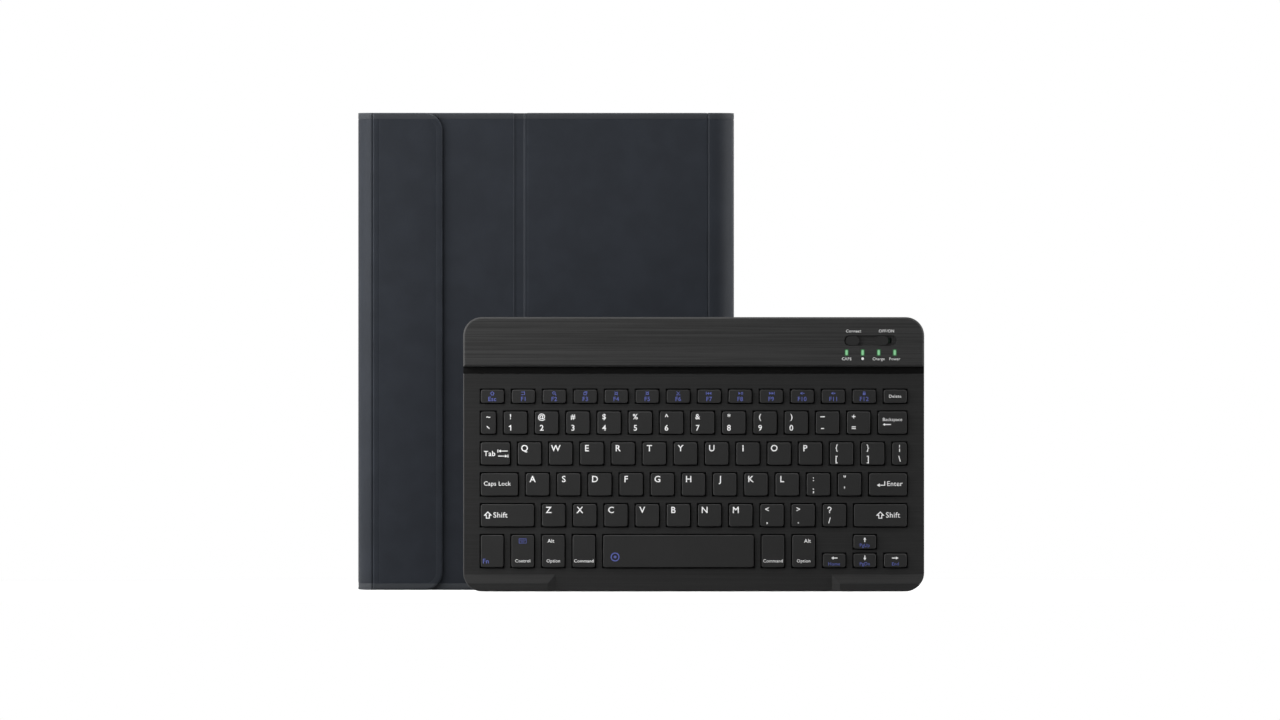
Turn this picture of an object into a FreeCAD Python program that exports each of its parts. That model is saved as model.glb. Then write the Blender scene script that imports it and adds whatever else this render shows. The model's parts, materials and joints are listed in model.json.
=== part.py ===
"""Leather tablet case with a detachable keyboard, in millimetres.

The closed case stands on its short edge with its front cover facing -Y. The keyboard stands on its
front long edge in front of it. +X is to the right, +Z is up and the origin is the middle of the
floor under both. Panels and the keyboard are drawn flat, in (across, up, outward) coordinates, and
are then stood up so that outward points to -Y.
"""
import FreeCAD
import Part
import math
import os
import types

import Sketcher
from FreeCAD import Placement, Rotation, Vector

SIZES = {
    # closed leather case
    "case_height": 257.5,
    "case_depth": 24.0,
    "leather": 0.8,
    "board": 1.7,
    "lining": 0.5,
    "layer_gap": 0.05,
    "fold_gap": 0.3,
    "edge_bevel": 0.6,
    "edge_bulge": 7.6,
    "cover_inset": 0.9,
    "fold_panel_width": 76.0,
    "crease_width": 6.4,
    "crease_depth": 0.8,
    "hinge_panel_width": 98.0,
    "spine_flat": 1.9,
    "flap_reach": 38.0,
    "flap_board": 0.8,
    "flap_corner": 9.5,
    "flap_gap": 0.3,
    # closure and cover magnets
    "magnet_width": 7.0,
    "magnet_length": 24.0,
    "magnet_pitch": 84.0,
    "magnet_inset": 14.0,
    "plate_thickness": 0.9,
    "bar_magnet_length": 46.0,
    "bar_magnet_width": 8.0,
    "bar_magnet_thickness": 1.0,
    "bar_magnet_pitch": 150.0,
    # moulded tray that holds the tablet
    "tray_end_inset": 3.2,
    "tray_side_inset": 1.4,
    "tablet_thickness": 6.4,
    "tablet_corner": 9.0,
    "tray_wall": 1.4,
    "tray_floor": 1.2,
    "tray_lip": 0.8,
    "tray_overhang": 1.2,
    "port_width": 56.0,
    "button_length": 36.0,
    "button_drop": 26.0,
    "camera_diameter": 13.0,
    "camera_inset": 17.0,
    # keyboard outline
    "keyboard_stand_off": 84.0,
    "keyboard_shift": 57.6,
    "keyboard_corner": 10.0,
    "side_margin": 8.9,
    "front_margin": 12.4,
    "rear_margin": 8.1,
    "groove_width": 3.8,
    "bar_width": 26.5,
    # key field, measured on the openings
    "letter_key": 13.4,
    "key_web": 3.32,
    "grave_key": 9.05,
    "backspace_key": 16.19,
    "tab_key": 16.58,
    "caps_key": 20.88,
    "shift_key": 29.48,
    "modifier_key": 13.08,
    "function_row": 8.1,
    "letter_row": 12.95,
    "bottom_row": 18.3,
    "row_web": 3.6,
    "arrow_web": 1.6,
    # key caps
    "key_gap": 0.45,
    "key_corner": 0.7,
    "key_rise": 1.4,
    "key_travel": 1.2,
    "flange_lap": 0.6,
    "flange_thickness": 0.7,
    "flange_gap": 0.3,
    # keyboard housing
    "deck_thickness": 1.2,
    "bar_top": 8.4,
    "bar_roof": 2.2,
    "bar_bevel": 0.9,
    "cover_floor": 1.0,
    "side_wall": 1.4,
    "inner_gap": 0.3,
    "groove_drop": 1.4,
    "groove_strip": 1.0,
    "deck_chamfer": 0.4,
    "lip_length": 49.5,
    "lip_rise": 2.4,
    "lip_flat": 4.3,
    "lip_slope": 4.8,
    "lip_end_slope": 4.3,
    # layers under the keys
    "support_plate": 0.4,
    "membrane": 0.3,
    "dome_base": 0.2,
    "dome_radius": 2.4,
    "dome_tip": 1.3,
    "dome_gap": 0.1,
    "dome_squash": 0.3,
    # controls and electronics in the rear bar
    "slot_length": 28.3,
    "slot_width": 5.6,
    "slot_depth": 1.2,
    "slot_inset": 28.7,
    "slot_above_bar_edge": 13.9,
    "control_gap": 0.35,
    "control_stem": 2.0,
    "button_cap": 7.4,
    "knob_length": 7.4,
    "knob_travel": 4.0,
    "button_travel": 0.5,
    "lens_length": 3.6,
    "lens_width": 2.1,
    "lens_pitch": 8.6,
    "lens_above_bar_edge": 7.5,
    "board_length": 96.0,
    "board_thickness": 0.6,
    "switch_side": 5.0,
    "emitter_side": 1.6,
    "chip_side": 7.0,
    "chip_height": 1.0,
    "battery_length": 92.0,
    "battery_thickness": 3.2,
    "socket_width": 8.0,
    "socket_height": 2.7,
    "socket_depth": 6.0,
    "socket_wall": 0.4,
    "socket_inset": 70.0,
    # underside
    "foot_length": 30.0,
    "foot_width": 7.0,
    "foot_corner": 2.2,
    "foot_rise": 0.5,
    "foot_inset": 9.0,
    "foot_bed": 0.3,
    "screw_head": 3.2,
    "screw_head_depth": 0.6,
    "screw_shank": 1.6,
    "boss_width": 4.4,
    "screw_inset": 5.4,
    "pole_length": 40.0,
    "pole_width": 5.0,
    "pole_thickness": 2.4,
    "pole_inset": 14.0,
}

document = FreeCAD.newDocument("tablet_keyboard_case")
sheet = document.addObject("Spreadsheet::Sheet", "Sizes")
for row, (alias, number) in enumerate(SIZES.items(), start=1):
    sheet.set(f"A{row}", alias)
    sheet.set(f"B{row}", str(number))
    sheet.setAlias(f"B{row}", alias)
document.recompute()


class Size:
    """A length kept as an expression on the sheet, together with its present value."""

    def __init__(self, text, value):
        self.text = text
        self.value = value

    def _joined(self, sign, other, value):
        return Size(f"({self.text} {sign} {as_size(other).text})", value)

    def __add__(self, other):
        return self._joined("+", other, self.value + as_size(other).value)

    def __sub__(self, other):
        return self._joined("-", other, self.value - as_size(other).value)

    def __mul__(self, other):
        return self._joined("*", other, self.value * as_size(other).value)

    def __truediv__(self, other):
        return self._joined("/", other, self.value / as_size(other).value)

    def __neg__(self):
        return Size(f"(0 - {self.text})", -self.value)


def as_size(number):
    """A Size as it is, or a plain count or share as a Size."""
    return number if isinstance(number, Size) else Size(repr(number), float(number))


s = types.SimpleNamespace(**{alias: Size(f"Sizes.{alias}", float(sheet.get(alias))) for alias in SIZES})
ZERO = as_size(0)
NUMBER_KEYS = 12
FUNCTION_KEYS = 14
HOME_KEYS = 11
LOWER_KEYS = 10
LETTER_ROWS = 4
PLAIN_BOTTOM_KEYS = 9

# derived sizes of the leather case, measured from its left edge and its front face
panel_thickness = s.leather + s.board + s.lining
flap_thickness = s.leather + s.flap_board + s.lining
panel_left = s.edge_bulge + s.cover_inset
crease_left = panel_left + s.fold_panel_width
hinge_panel_left = crease_left + s.crease_width
hinge_panel_right = hinge_panel_left + s.hinge_panel_width
back_width = hinge_panel_right - panel_left
flap_front = s.flap_gap + flap_thickness
tray_length = s.case_height - s.tray_end_inset * 2
tray_width = back_width - s.tray_side_inset * 2
tray_depth = s.tray_floor + s.tablet_thickness + s.tray_lip

# derived sizes of the keyboard, measured from its lower left corner and its underside
letter_pitch = s.letter_key + s.key_web
modifier_pitch = s.modifier_key + s.key_web
field_width = s.grave_key + s.key_web + letter_pitch * NUMBER_KEYS + s.backspace_key
function_key = (field_width + s.key_web) / FUNCTION_KEYS - s.key_web
keyboard_width = field_width + s.side_margin * 2
letter_rows_bottom = s.front_margin + s.bottom_row + s.row_web
letter_row_pitch = s.letter_row + s.row_web
function_row_bottom = letter_rows_bottom + letter_row_pitch * LETTER_ROWS
deck_length = function_row_bottom + s.function_row + s.rear_margin
bar_bottom = deck_length + s.groove_width
keyboard_length = bar_bottom + s.bar_width
plate_top = s.cover_floor + s.support_plate
membrane_top = plate_top + s.membrane
dome_base_top = membrane_top + s.dome_base
flange_bottom = dome_base_top + s.dome_squash + s.key_travel
flange_top = flange_bottom + s.flange_thickness
deck_underside = flange_top + s.flange_gap
deck_top = deck_underside + s.deck_thickness
key_top = deck_top + s.key_rise
groove_strip_top = deck_top - s.groove_drop
rib_top = groove_strip_top - s.groove_strip
roof_underside = s.bar_top - s.bar_roof
circuit_top = s.cover_floor + s.board_thickness

# the origin lies under the middle of the whole group
case_left = -(s.keyboard_shift + keyboard_width) / 2
case_front = (s.keyboard_stand_off + s.bar_top - s.case_depth) / 2
keyboard_left = case_left + s.keyboard_shift
keyboard_back = case_front - s.keyboard_stand_off

STAND_UP = Rotation(Vector(1, 0, 0), 90)
TOUCH = 1e-4
OCTAGON_CUT = 1 - math.sqrt(0.5)
sub_parts = []


def bind(item, name, length):
    """Tie one property of a document object to the sheet."""
    item.setExpression(name, as_size(length).text)


def place(item, label, left, back, bottom=ZERO, stand=True):
    """Name a finished sub-part and put it in its place in the frame."""
    item.Label = label
    if stand:
        item.Placement = Placement(Vector(), STAND_UP)
    bind(item, "Placement.Base.x", left)
    bind(item, "Placement.Base.y", back)
    bind(item, "Placement.Base.z", bottom)
    sub_parts.append(item)
    return item


def new_body(name):
    return document.addObject("PartDesign::Body", name)


def new_sketch(body, name, height=ZERO, plane="XY_Plane"):
    """A sketch on one of the body's own planes, lifted by height along the plane's normal."""
    sketch = body.newObject("Sketcher::SketchObject", name)
    support = [item for item in body.Origin.OriginFeatures if item.Role == plane][0]
    sketch.AttachmentSupport = [(support, "")]
    sketch.MapMode = "FlatFace"
    bind(sketch, "AttachmentOffset.Base.z", height)
    return sketch


def fix(sketch, kind, edge, end, length):
    """Bind the distance of one end of an edge from the sketch's origin."""
    index = sketch.addConstraint(Sketcher.Constraint(kind, -1, 1, edge, end, as_size(length).value))
    sketch.setExpression(f"Constraints[{index}]", as_size(length).text)


def draw_rectangle(sketch, left, bottom, right, top, radii=(None, None, None, None)):
    """An upright rectangle whose corners, from the lower left round to the upper left, may be round."""
    x0, y0, x1, y1 = (as_size(edge).value for edge in (left, bottom, right, top))
    corners = [(x0, y0), (x1, y0), (x1, y1), (x0, y1)]
    steps = [(1, 0), (0, 1), (-1, 0), (0, -1)]
    first = sketch.GeometryCount
    reach = [radius.value if radius else 0.0 for radius in radii]
    for side in range(4):
        (xa, ya), (xb, yb), (dx, dy) = corners[side], corners[(side + 1) % 4], steps[side]
        start = Vector(xa + dx * reach[side], ya + dy * reach[side])
        end = Vector(xb - dx * reach[(side + 1) % 4], yb - dy * reach[(side + 1) % 4])
        sketch.addGeometry(Part.LineSegment(start, end))
        sketch.addConstraint(Sketcher.Constraint("Vertical" if dx == 0 else "Horizontal", first + side))
    for side, (kind, edge) in enumerate((("DistanceY", bottom), ("DistanceX", right),
                                         ("DistanceY", top), ("DistanceX", left))):
        fix(sketch, kind, first + side, 1, edge)
    for corner, radius in enumerate(radii):
        before, after = first + (corner - 1) % 4, first + corner
        if radius is None:
            sketch.addConstraint(Sketcher.Constraint("Coincident", before, 2, after, 1))
            continue
        (x, y), (ix, iy), (ox, oy) = corners[corner], steps[(corner - 1) % 4], steps[corner]
        centre = Vector(x - ix * radius.value + ox * radius.value, y - iy * radius.value + oy * radius.value)
        turn = math.pi + corner * math.pi / 2
        circle = Part.Circle(centre, Vector(0, 0, 1), radius.value)
        arc = sketch.addGeometry(Part.ArcOfCircle(circle, turn, turn + math.pi / 2))
        sketch.addConstraint(Sketcher.Constraint("Tangent", before, 2, arc, 1))
        sketch.addConstraint(Sketcher.Constraint("Tangent", arc, 2, after, 1))
        index = sketch.addConstraint(Sketcher.Constraint("Radius", arc, radius.value))
        sketch.setExpression(f"Constraints[{index}]", radius.text)


def draw_circle(sketch, across, up, diameter):
    """A circle with its centre and diameter bound to the sheet."""
    centre = Vector(as_size(across).value, as_size(up).value)
    circle = sketch.addGeometry(Part.Circle(centre, Vector(0, 0, 1), diameter.value / 2))
    fix(sketch, "DistanceX", circle, 3, across)
    fix(sketch, "DistanceY", circle, 3, up)
    index = sketch.addConstraint(Sketcher.Constraint("Diameter", circle, diameter.value))
    sketch.setExpression(f"Constraints[{index}]", diameter.text)


def draw_polygon(sketch, points):
    """A closed outline of straight edges through points whose two coordinates are Sizes."""
    flat = [Vector(as_size(x).value, as_size(y).value) for x, y in points]
    first = sketch.GeometryCount
    for index, start in enumerate(flat):
        sketch.addGeometry(Part.LineSegment(start, flat[(index + 1) % len(flat)]))
    for index, (x, y) in enumerate(points):
        before = first + (index - 1) % len(points)
        sketch.addConstraint(Sketcher.Constraint("Coincident", before, 2, first + index, 1))
        fix(sketch, "DistanceX", first + index, 1, x)
        fix(sketch, "DistanceY", first + index, 1, y)


def draw_cut_rectangle(sketch, left, bottom, right, top, corner):
    """An upright rectangle whose four corners are cut off straight."""
    draw_polygon(sketch, [(left + corner, bottom), (right - corner, bottom), (right, bottom + corner),
                          (right, top - corner), (right - corner, top), (left + corner, top),
                          (left, top - corner), (left, bottom + corner)])


def draw_octagon(sketch, across, up, width):
    """A regular octagon that stands on a flat side, on its centre."""
    half = width / 2
    draw_cut_rectangle(sketch, across - half, up - half, across + half, up + half, width * OCTAGON_CUT)


def add_pad(body, sketch, length):
    pad = body.newObject("PartDesign::Pad", f"{body.Name}_pad")
    pad.Profile = sketch
    bind(pad, "Length", length)
    sketch.Visibility = False
    return pad


def add_pocket(body, sketch, length, upward=False):
    """Cut the sketch into the body, downward from its plane or upward from it."""
    pocket = body.newObject("PartDesign::Pocket", f"{body.Name}_pocket")
    pocket.Profile = sketch
    pocket.Reversed = upward
    bind(pocket, "Length", length)
    sketch.Visibility = False
    return pocket


def outline_edges(shape, height):
    """Names of the edges of a plain block that lie in the plane at one height."""
    return [f"Edge{index}" for index, edge in enumerate(shape.Edges, start=1)
            if all(abs(vertex.Z - height) < TOUCH for vertex in edge.Vertexes)]


def add_edge_feature(body, kind, length, base, height):
    """Round or chamfer all edges of a plain block at one height."""
    document.recompute()
    feature = body.newObject(f"PartDesign::{kind}", f"{body.Name}_{kind.lower()}")
    feature.Base = (base, outline_edges(base.Shape, height.value))
    bind(feature, "Radius" if kind == "Fillet" else "Size", length)
    return feature


def plain_block(name, left, bottom, base, width, length, height):
    """A box in flat coordinates, from its lower left corner."""
    box = document.addObject("Part::Box", name)
    bind(box, "Length", width)
    bind(box, "Width", length)
    bind(box, "Height", height)
    bind(box, "Placement.Base.x", left)
    bind(box, "Placement.Base.y", bottom)
    bind(box, "Placement.Base.z", base)
    return box


def plain_cylinder(name, across, up, base, diameter, height):
    """A round post in flat coordinates, on its centre."""
    post = document.addObject("Part::Cylinder", name)
    bind(post, "Radius", diameter / 2)
    bind(post, "Height", height)
    bind(post, "Placement.Base.x", across)
    bind(post, "Placement.Base.y", up)
    bind(post, "Placement.Base.z", base)
    return post


def rounded_body(name, left, bottom, base, width, length, height, radius):
    """A block with its four upright corners rounded."""
    body = new_body(name)
    sketch = new_sketch(body, f"{name}_outline", base)
    draw_rectangle(sketch, left, bottom, left + width, bottom + length, (radius,) * 4)
    add_pad(body, sketch, height)
    return body


def cut_block(name, left, bottom, base, width, length, height, corner):
    """A block with its four upright corners cut off straight."""
    body = new_body(name)
    sketch = new_sketch(body, f"{name}_outline", base)
    draw_cut_rectangle(sketch, left, bottom, left + width, bottom + length, corner)
    add_pad(body, sketch, height)
    return body


def group(name, pieces):
    """Several separate solids kept together in one sub-part."""
    compound = document.addObject("Part::Compound", name)
    compound.Links = pieces
    return compound


def cut(name, base, tool):
    result = document.addObject("Part::Cut", name)
    result.Base = base
    result.Tool = tool
    return result


def leather_tray(name, width, thickness, leather_up, radii, hole=None):
    """A leather skin with its edge turned over the board: a shallow tray, open on its inner face."""
    body = new_body(name)
    outline = new_sketch(body, f"{name}_outline")
    draw_rectangle(outline, ZERO, ZERO, width, s.case_height, radii)
    slab = add_pad(body, outline, thickness)
    face = thickness if leather_up else ZERO
    add_edge_feature(body, "Chamfer", s.edge_bevel, slab, face)
    bed = new_sketch(body, f"{name}_bed", ZERO if leather_up else thickness)
    inner = [radius - s.leather if radius else None for radius in radii]
    draw_rectangle(bed, s.leather, s.leather, width - s.leather, s.case_height - s.leather, inner)
    add_pocket(body, bed, thickness - s.leather, upward=leather_up)
    if hole:
        opening = new_sketch(body, f"{name}_hole", thickness)
        draw_circle(opening, *hole)
        add_pocket(body, opening, thickness)
    return body


def inner_layer(name, width, base, thickness, radii, hole=None, slots=()):
    """A board or lining that lies inside a leather tray, with a round hole or plain slots through it."""
    body = new_body(name)
    inset = s.leather + s.layer_gap
    outline = new_sketch(body, f"{name}_outline", base)
    inner = [radius - inset if radius else None for radius in radii]
    draw_rectangle(outline, inset, inset, width - inset, s.case_height - inset, inner)
    if hole:
        draw_circle(outline, *hole)
    for slot in slots:
        draw_rectangle(outline, *slot)
    add_pad(body, outline, thickness)
    return body


def magnet_slots(across, gap=ZERO):
    """The three upright bars that hold the flap, as (left, bottom, right, top), widened by a gap."""
    slots = []
    for count in (-1, 0, 1):
        middle = s.case_height / 2 + s.magnet_pitch * count
        slots.append((across - s.magnet_width / 2 - gap, middle - s.magnet_length / 2 - gap,
                      across + s.magnet_width / 2 + gap, middle + s.magnet_length / 2 + gap))
    return slots


def magnet_bars(name, across, base, thickness):
    """Those three bars as solids."""
    return [plain_block(f"{name}_{count}", left, bottom, base, right - left, top - bottom, thickness)
            for count, (left, bottom, right, top) in enumerate(magnet_slots(across))]


def build_front_panel():
    """Hinge side of the front cover, with the crease strip and the magnets that hold the keyboard."""
    left = case_left + hinge_panel_left
    back = case_front + panel_thickness
    radii = (None,) * 4
    width = s.hinge_panel_width
    place(leather_tray("front_skin", width, panel_thickness, True, radii), "front_skin", left, back)
    board = inner_layer("front_board", width, s.lining, s.board, radii)
    beds = new_sketch(board, "front_board_beds", s.lining)
    across = (width - s.bar_magnet_length) / 2
    low = (s.case_height - s.bar_magnet_pitch - s.bar_magnet_width) / 2
    gap = s.layer_gap
    magnets = []
    for count in range(2):
        bottom = low + s.bar_magnet_pitch * count
        draw_rectangle(beds, across - gap, bottom - gap, across + s.bar_magnet_length + gap,
                       bottom + s.bar_magnet_width + gap)
        magnets.append(plain_block(f"cover_magnet_{count}", across, bottom, s.lining,
                                   s.bar_magnet_length, s.bar_magnet_width, s.bar_magnet_thickness))
    add_pocket(board, beds, s.bar_magnet_thickness, upward=True)
    place(board, "front_board", left, back)
    place(inner_layer("front_lining", width, ZERO, s.lining, radii), "front_lining", left, back)
    place(group("cover_magnets", magnets), "cover_magnets", left, back)
    strip = plain_block("crease_leather", -s.crease_width + s.fold_gap, s.edge_bevel,
                        panel_thickness - s.crease_depth - s.leather,
                        s.crease_width - s.fold_gap, s.case_height - s.edge_bevel * 2, s.leather)
    place(group("crease_group", [strip]), "crease_strip", left, back)


def build_fold_panel():
    """Folding side of the front cover, with the steel plates that the flap's magnets hold to."""
    left = case_left + panel_left
    back = case_front + panel_thickness
    radii = (None,) * 4
    width = s.fold_panel_width
    across = s.flap_reach - s.cover_inset - s.magnet_inset
    plate_base = s.lining + s.board - s.plate_thickness
    place(leather_tray("fold_skin", width, panel_thickness, True, radii), "fold_skin", left, back)
    board = inner_layer("fold_board", width, s.lining, s.board, radii)
    beds = new_sketch(board, "fold_board_beds", s.lining + s.board)
    for slot in magnet_slots(across, s.layer_gap):
        draw_rectangle(beds, *slot)
    add_pocket(board, beds, s.plate_thickness)
    place(board, "fold_board", left, back)
    place(inner_layer("fold_lining", width, ZERO, s.lining, radii), "fold_lining", left, back)
    plates = magnet_bars("closure_plate", across, plate_base, s.plate_thickness)
    place(group("closure_plate_group", plates), "closure_plates", left, back)


def build_back_panel():
    """Back cover with its camera opening, and the moulded tray that holds the tablet."""
    left = case_left + panel_left
    back = case_front + s.case_depth
    radii = (None,) * 4
    tray_left = (back_width - tray_width) / 2
    tray_bottom = (s.case_height - tray_length) / 2
    camera = (tray_left + s.camera_inset, tray_bottom + tray_length - s.camera_inset, s.camera_diameter)
    skin = leather_tray("back_skin", back_width, panel_thickness, False, radii, camera)
    place(skin, "back_skin", left, back)
    board = inner_layer("back_board", back_width, s.leather, s.board, radii, camera)
    place(board, "back_board", left, back)
    lining = inner_layer("back_lining", back_width, s.leather + s.board, s.lining, radii, camera)
    place(lining, "back_lining", left, back)

    tray = new_body("tablet_tray")
    base = panel_thickness
    outer_corner = s.tablet_corner + s.tray_wall
    outline = new_sketch(tray, "tray_outline", base)
    draw_rectangle(outline, tray_left, tray_bottom, tray_left + tray_width, tray_bottom + tray_length,
                   (outer_corner,) * 4)
    add_pad(tray, outline, tray_depth)
    inset = s.tray_wall
    pocket = new_sketch(tray, "tray_pocket", base + s.tray_floor)
    draw_rectangle(pocket, tray_left + inset, tray_bottom + inset, tray_left + tray_width - inset,
                   tray_bottom + tray_length - inset, (s.tablet_corner,) * 4)
    add_pocket(tray, pocket, s.tablet_thickness, upward=True)
    inset = s.tray_wall + s.tray_overhang
    mouth = new_sketch(tray, "tray_mouth", base + tray_depth)
    draw_rectangle(mouth, tray_left + inset, tray_bottom + inset, tray_left + tray_width - inset,
                   tray_bottom + tray_length - inset, (s.tablet_corner - s.tray_overhang,) * 4)
    add_pocket(tray, mouth, s.tray_lip)
    ports = new_sketch(tray, "tray_ports", base + s.tray_floor)
    middle = tray_left + tray_width / 2
    run = s.tray_wall + s.tray_overhang
    draw_rectangle(ports, middle - s.port_width / 2, tray_bottom - s.tray_wall,
                   middle + s.port_width / 2, tray_bottom + run)
    draw_rectangle(ports, middle - s.port_width / 2, tray_bottom + tray_length - run,
                   middle + s.port_width / 2, tray_bottom + tray_length + s.tray_wall)
    button_top = tray_bottom + tray_length - outer_corner - s.button_drop
    draw_rectangle(ports, tray_left - s.tray_wall, button_top - s.button_length, tray_left + run, button_top)
    add_pocket(tray, ports, s.tablet_thickness + s.tray_lip, upward=True)
    lens = new_sketch(tray, "tray_camera", base + s.tray_floor)
    draw_circle(lens, *camera)
    add_pocket(tray, lens, s.tray_floor)
    place(tray, "tablet_tray", left, back)


def arc_band(name, flat, bulge, chord, outer, inner):
    """A band bent round one edge of the case: an arc of given bulge, with a straight stretch at each end.

    The band is drawn from above. Its two faces lie the distances outer and inner below the arc's full
    radius. The chord runs up the page from the origin and the bulge points to +X.
    """
    radius = (bulge * bulge + chord * chord / 4) / (bulge * 2)
    centre = flat + bulge - radius
    middle = chord / 2
    body = new_body(name)
    sketch = new_sketch(body, f"{name}_section")
    tips = []
    for offset in (outer, inner):
        size = radius - offset
        run = flat.value - centre.value
        rise = math.sqrt(size.value ** 2 - run ** 2)
        swing = math.atan2(rise, run)
        circle = Part.Circle(Vector(centre.value, middle.value), Vector(0, 0, 1), size.value)
        arc = sketch.addGeometry(Part.ArcOfCircle(circle, -swing, swing))
        fix(sketch, "DistanceX", arc, 3, centre)
        fix(sketch, "DistanceY", arc, 3, middle)
        index = sketch.addConstraint(Sketcher.Constraint("Radius", arc, size.value))
        sketch.setExpression(f"Constraints[{index}]", size.text)
        ends = []
        for end, height in ((1, middle.value - rise), (2, middle.value + rise)):
            fix(sketch, "DistanceX", arc, end, flat)
            if flat is ZERO:
                ends.append((arc, end, Vector(0, height)))
                continue
            straight = sketch.addGeometry(Part.LineSegment(Vector(flat.value, height), Vector(0, height)))
            sketch.addConstraint(Sketcher.Constraint("Coincident", straight, 1, arc, end))
            sketch.addConstraint(Sketcher.Constraint("Horizontal", straight))
            fix(sketch, "DistanceX", straight, 2, ZERO)
            ends.append((straight, 2, Vector(0, height)))
        tips.append(ends)
    for (edge, end, point), (inner_edge, inner_end, inner_point) in zip(*tips):
        closing = sketch.addGeometry(Part.LineSegment(point, inner_point))
        sketch.addConstraint(Sketcher.Constraint("Coincident", closing, 1, edge, end))
        sketch.addConstraint(Sketcher.Constraint("Coincident", closing, 2, inner_edge, inner_end))
    add_pad(body, sketch, s.case_height)
    return body


def build_spine_and_edge():
    """Rounded spine at the right, and the band at the left that carries the flap."""
    right = case_left + hinge_panel_right + s.fold_gap
    bulge = s.case_depth / 2
    split = s.leather
    thickness = s.leather + s.lining
    place(arc_band("spine_skin", s.spine_flat, bulge, s.case_depth, ZERO, split), "spine_skin",
          right, case_front, stand=False)
    place(arc_band("spine_lining", s.spine_flat, bulge, s.case_depth, split, thickness), "spine_lining",
          right, case_front, stand=False)
    chord = s.case_depth + flap_front
    for name, outer, inner in (("edge_skin", ZERO, split), ("edge_lining", split, thickness)):
        band = place(arc_band(name, ZERO, s.edge_bulge, chord, outer, inner), name,
                     case_left + s.edge_bulge, case_front + s.case_depth, stand=False)
        band.Placement = Placement(band.Placement.Base, Rotation(Vector(0, 0, 1), 180))


def build_flap():
    """Closing flap that lies over the front cover, with its three magnets."""
    left = case_left + s.edge_bulge + s.fold_gap
    back = case_front - s.flap_gap
    radii = (None, s.flap_corner, s.flap_corner, None)
    width = s.flap_reach - s.fold_gap
    across = width - s.magnet_inset
    place(leather_tray("flap_skin", width, flap_thickness, True, radii), "flap_skin", left, back)
    slots = magnet_slots(across, s.layer_gap)
    board = inner_layer("flap_board", width, s.lining, s.flap_board, radii, slots=slots)
    place(board, "flap_board", left, back)
    place(inner_layer("flap_lining", width, ZERO, s.lining, radii), "flap_lining", left, back)
    magnets = magnet_bars("flap_magnet", across, s.lining, s.flap_board)
    place(group("flap_magnet_group", magnets), "flap_magnets", left, back)


def key_rows():
    """Every key opening as (group, left, bottom, width, height), row by row from the rear."""
    field_left = s.side_margin
    field_right = s.side_margin + field_width
    openings = []

    def add_row(bottom, height, keys):
        left = field_left
        for name, width in keys:
            openings.append((name, left, bottom, width, height))
            left = left + width + s.key_web

    def letters(*counts):
        return [(name, s.letter_key) for name, count in counts for _ in range(count)]

    def rest_of_row(first, count):
        return field_width - first - s.key_web - letter_pitch * count

    row = [letter_rows_bottom + letter_row_pitch * count for count in range(4)]
    add_row(function_row_bottom, s.function_row,
            [("keys_function_left", function_key)] * 7 + [("keys_function_right", function_key)] * 7)
    add_row(row[3], s.letter_row, [("keys_number_left", s.grave_key)]
            + letters(("keys_number_left", 6), ("keys_number_right", 6))
            + [("key_backspace", s.backspace_key)])
    add_row(row[2], s.letter_row, [("key_tab", s.tab_key)]
            + letters(("keys_upper_left", 5), ("keys_upper_right", 5), ("keys_brackets", 2))
            + [("keys_brackets", rest_of_row(s.tab_key, NUMBER_KEYS))])
    add_row(row[1], s.letter_row, [("key_caps", s.caps_key)]
            + letters(("keys_home_left", 5), ("keys_home_right", 6))
            + [("key_enter", rest_of_row(s.caps_key, HOME_KEYS))])
    add_row(row[0], s.letter_row, [("key_shift_left", s.shift_key)]
            + letters(("keys_lower_left", 5), ("keys_lower_right", 5))
            + [("key_shift_right", rest_of_row(s.shift_key, LOWER_KEYS))])
    add_row(s.front_margin, s.bottom_row, [("keys_modifier_left", s.modifier_key)] * 4
            + [("key_space", field_width - modifier_pitch * PLAIN_BOTTOM_KEYS)]
            + [("keys_modifier_right", s.modifier_key)] * 2)
    arrow_height = (s.bottom_row - s.arrow_web) / 2
    for name, column, step in (("keys_arrow_row", 3, 0), ("keys_arrow_row", 2, 0), ("keys_arrow_row", 1, 0),
                               ("key_arrow_up", 2, 1)):
        left = field_right - modifier_pitch * column + s.key_web
        bottom = s.front_margin + (arrow_height + s.arrow_web) * step
        openings.append((name, left, bottom, s.modifier_key, arrow_height))
    return openings


def build_keys(openings):
    """Key caps: a block with cut corners through the deck, and a flange below it that keeps the key in."""
    caps = {}
    blocks = []
    for index, (name, left, bottom, width, height) in enumerate(openings):
        gap = s.key_gap
        cap = plain_block(f"cap_{index}", left + gap, bottom + gap, flange_top, width - gap * 2,
                          height - gap * 2, key_top - flange_top)
        lap = s.flange_lap
        flange = plain_block(f"flange_{index}", left - lap, bottom - lap, flange_bottom, width + lap * 2,
                             height + lap * 2, s.flange_thickness)
        blocks.append((name, cap, flange))
    document.recompute()
    upright = [index for index, edge in enumerate(blocks[0][1].Shape.Edges, start=1)
               if edge.BoundBox.XLength + edge.BoundBox.YLength < TOUCH]
    for index, (name, cap, flange) in enumerate(blocks):
        bevelled = document.addObject("Part::Chamfer", f"bevelled_cap_{index}")
        bevelled.Base = cap
        bevelled.Edges = [(edge, s.key_corner.value, s.key_corner.value) for edge in upright]
        key = document.addObject("Part::Fuse", f"key_{index}")
        key.Base = bevelled
        key.Tool = flange
        caps.setdefault(name, []).append(key)
    for name, pieces in caps.items():
        place(group(f"{name}_group", pieces), name, keyboard_left, keyboard_back)


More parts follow.
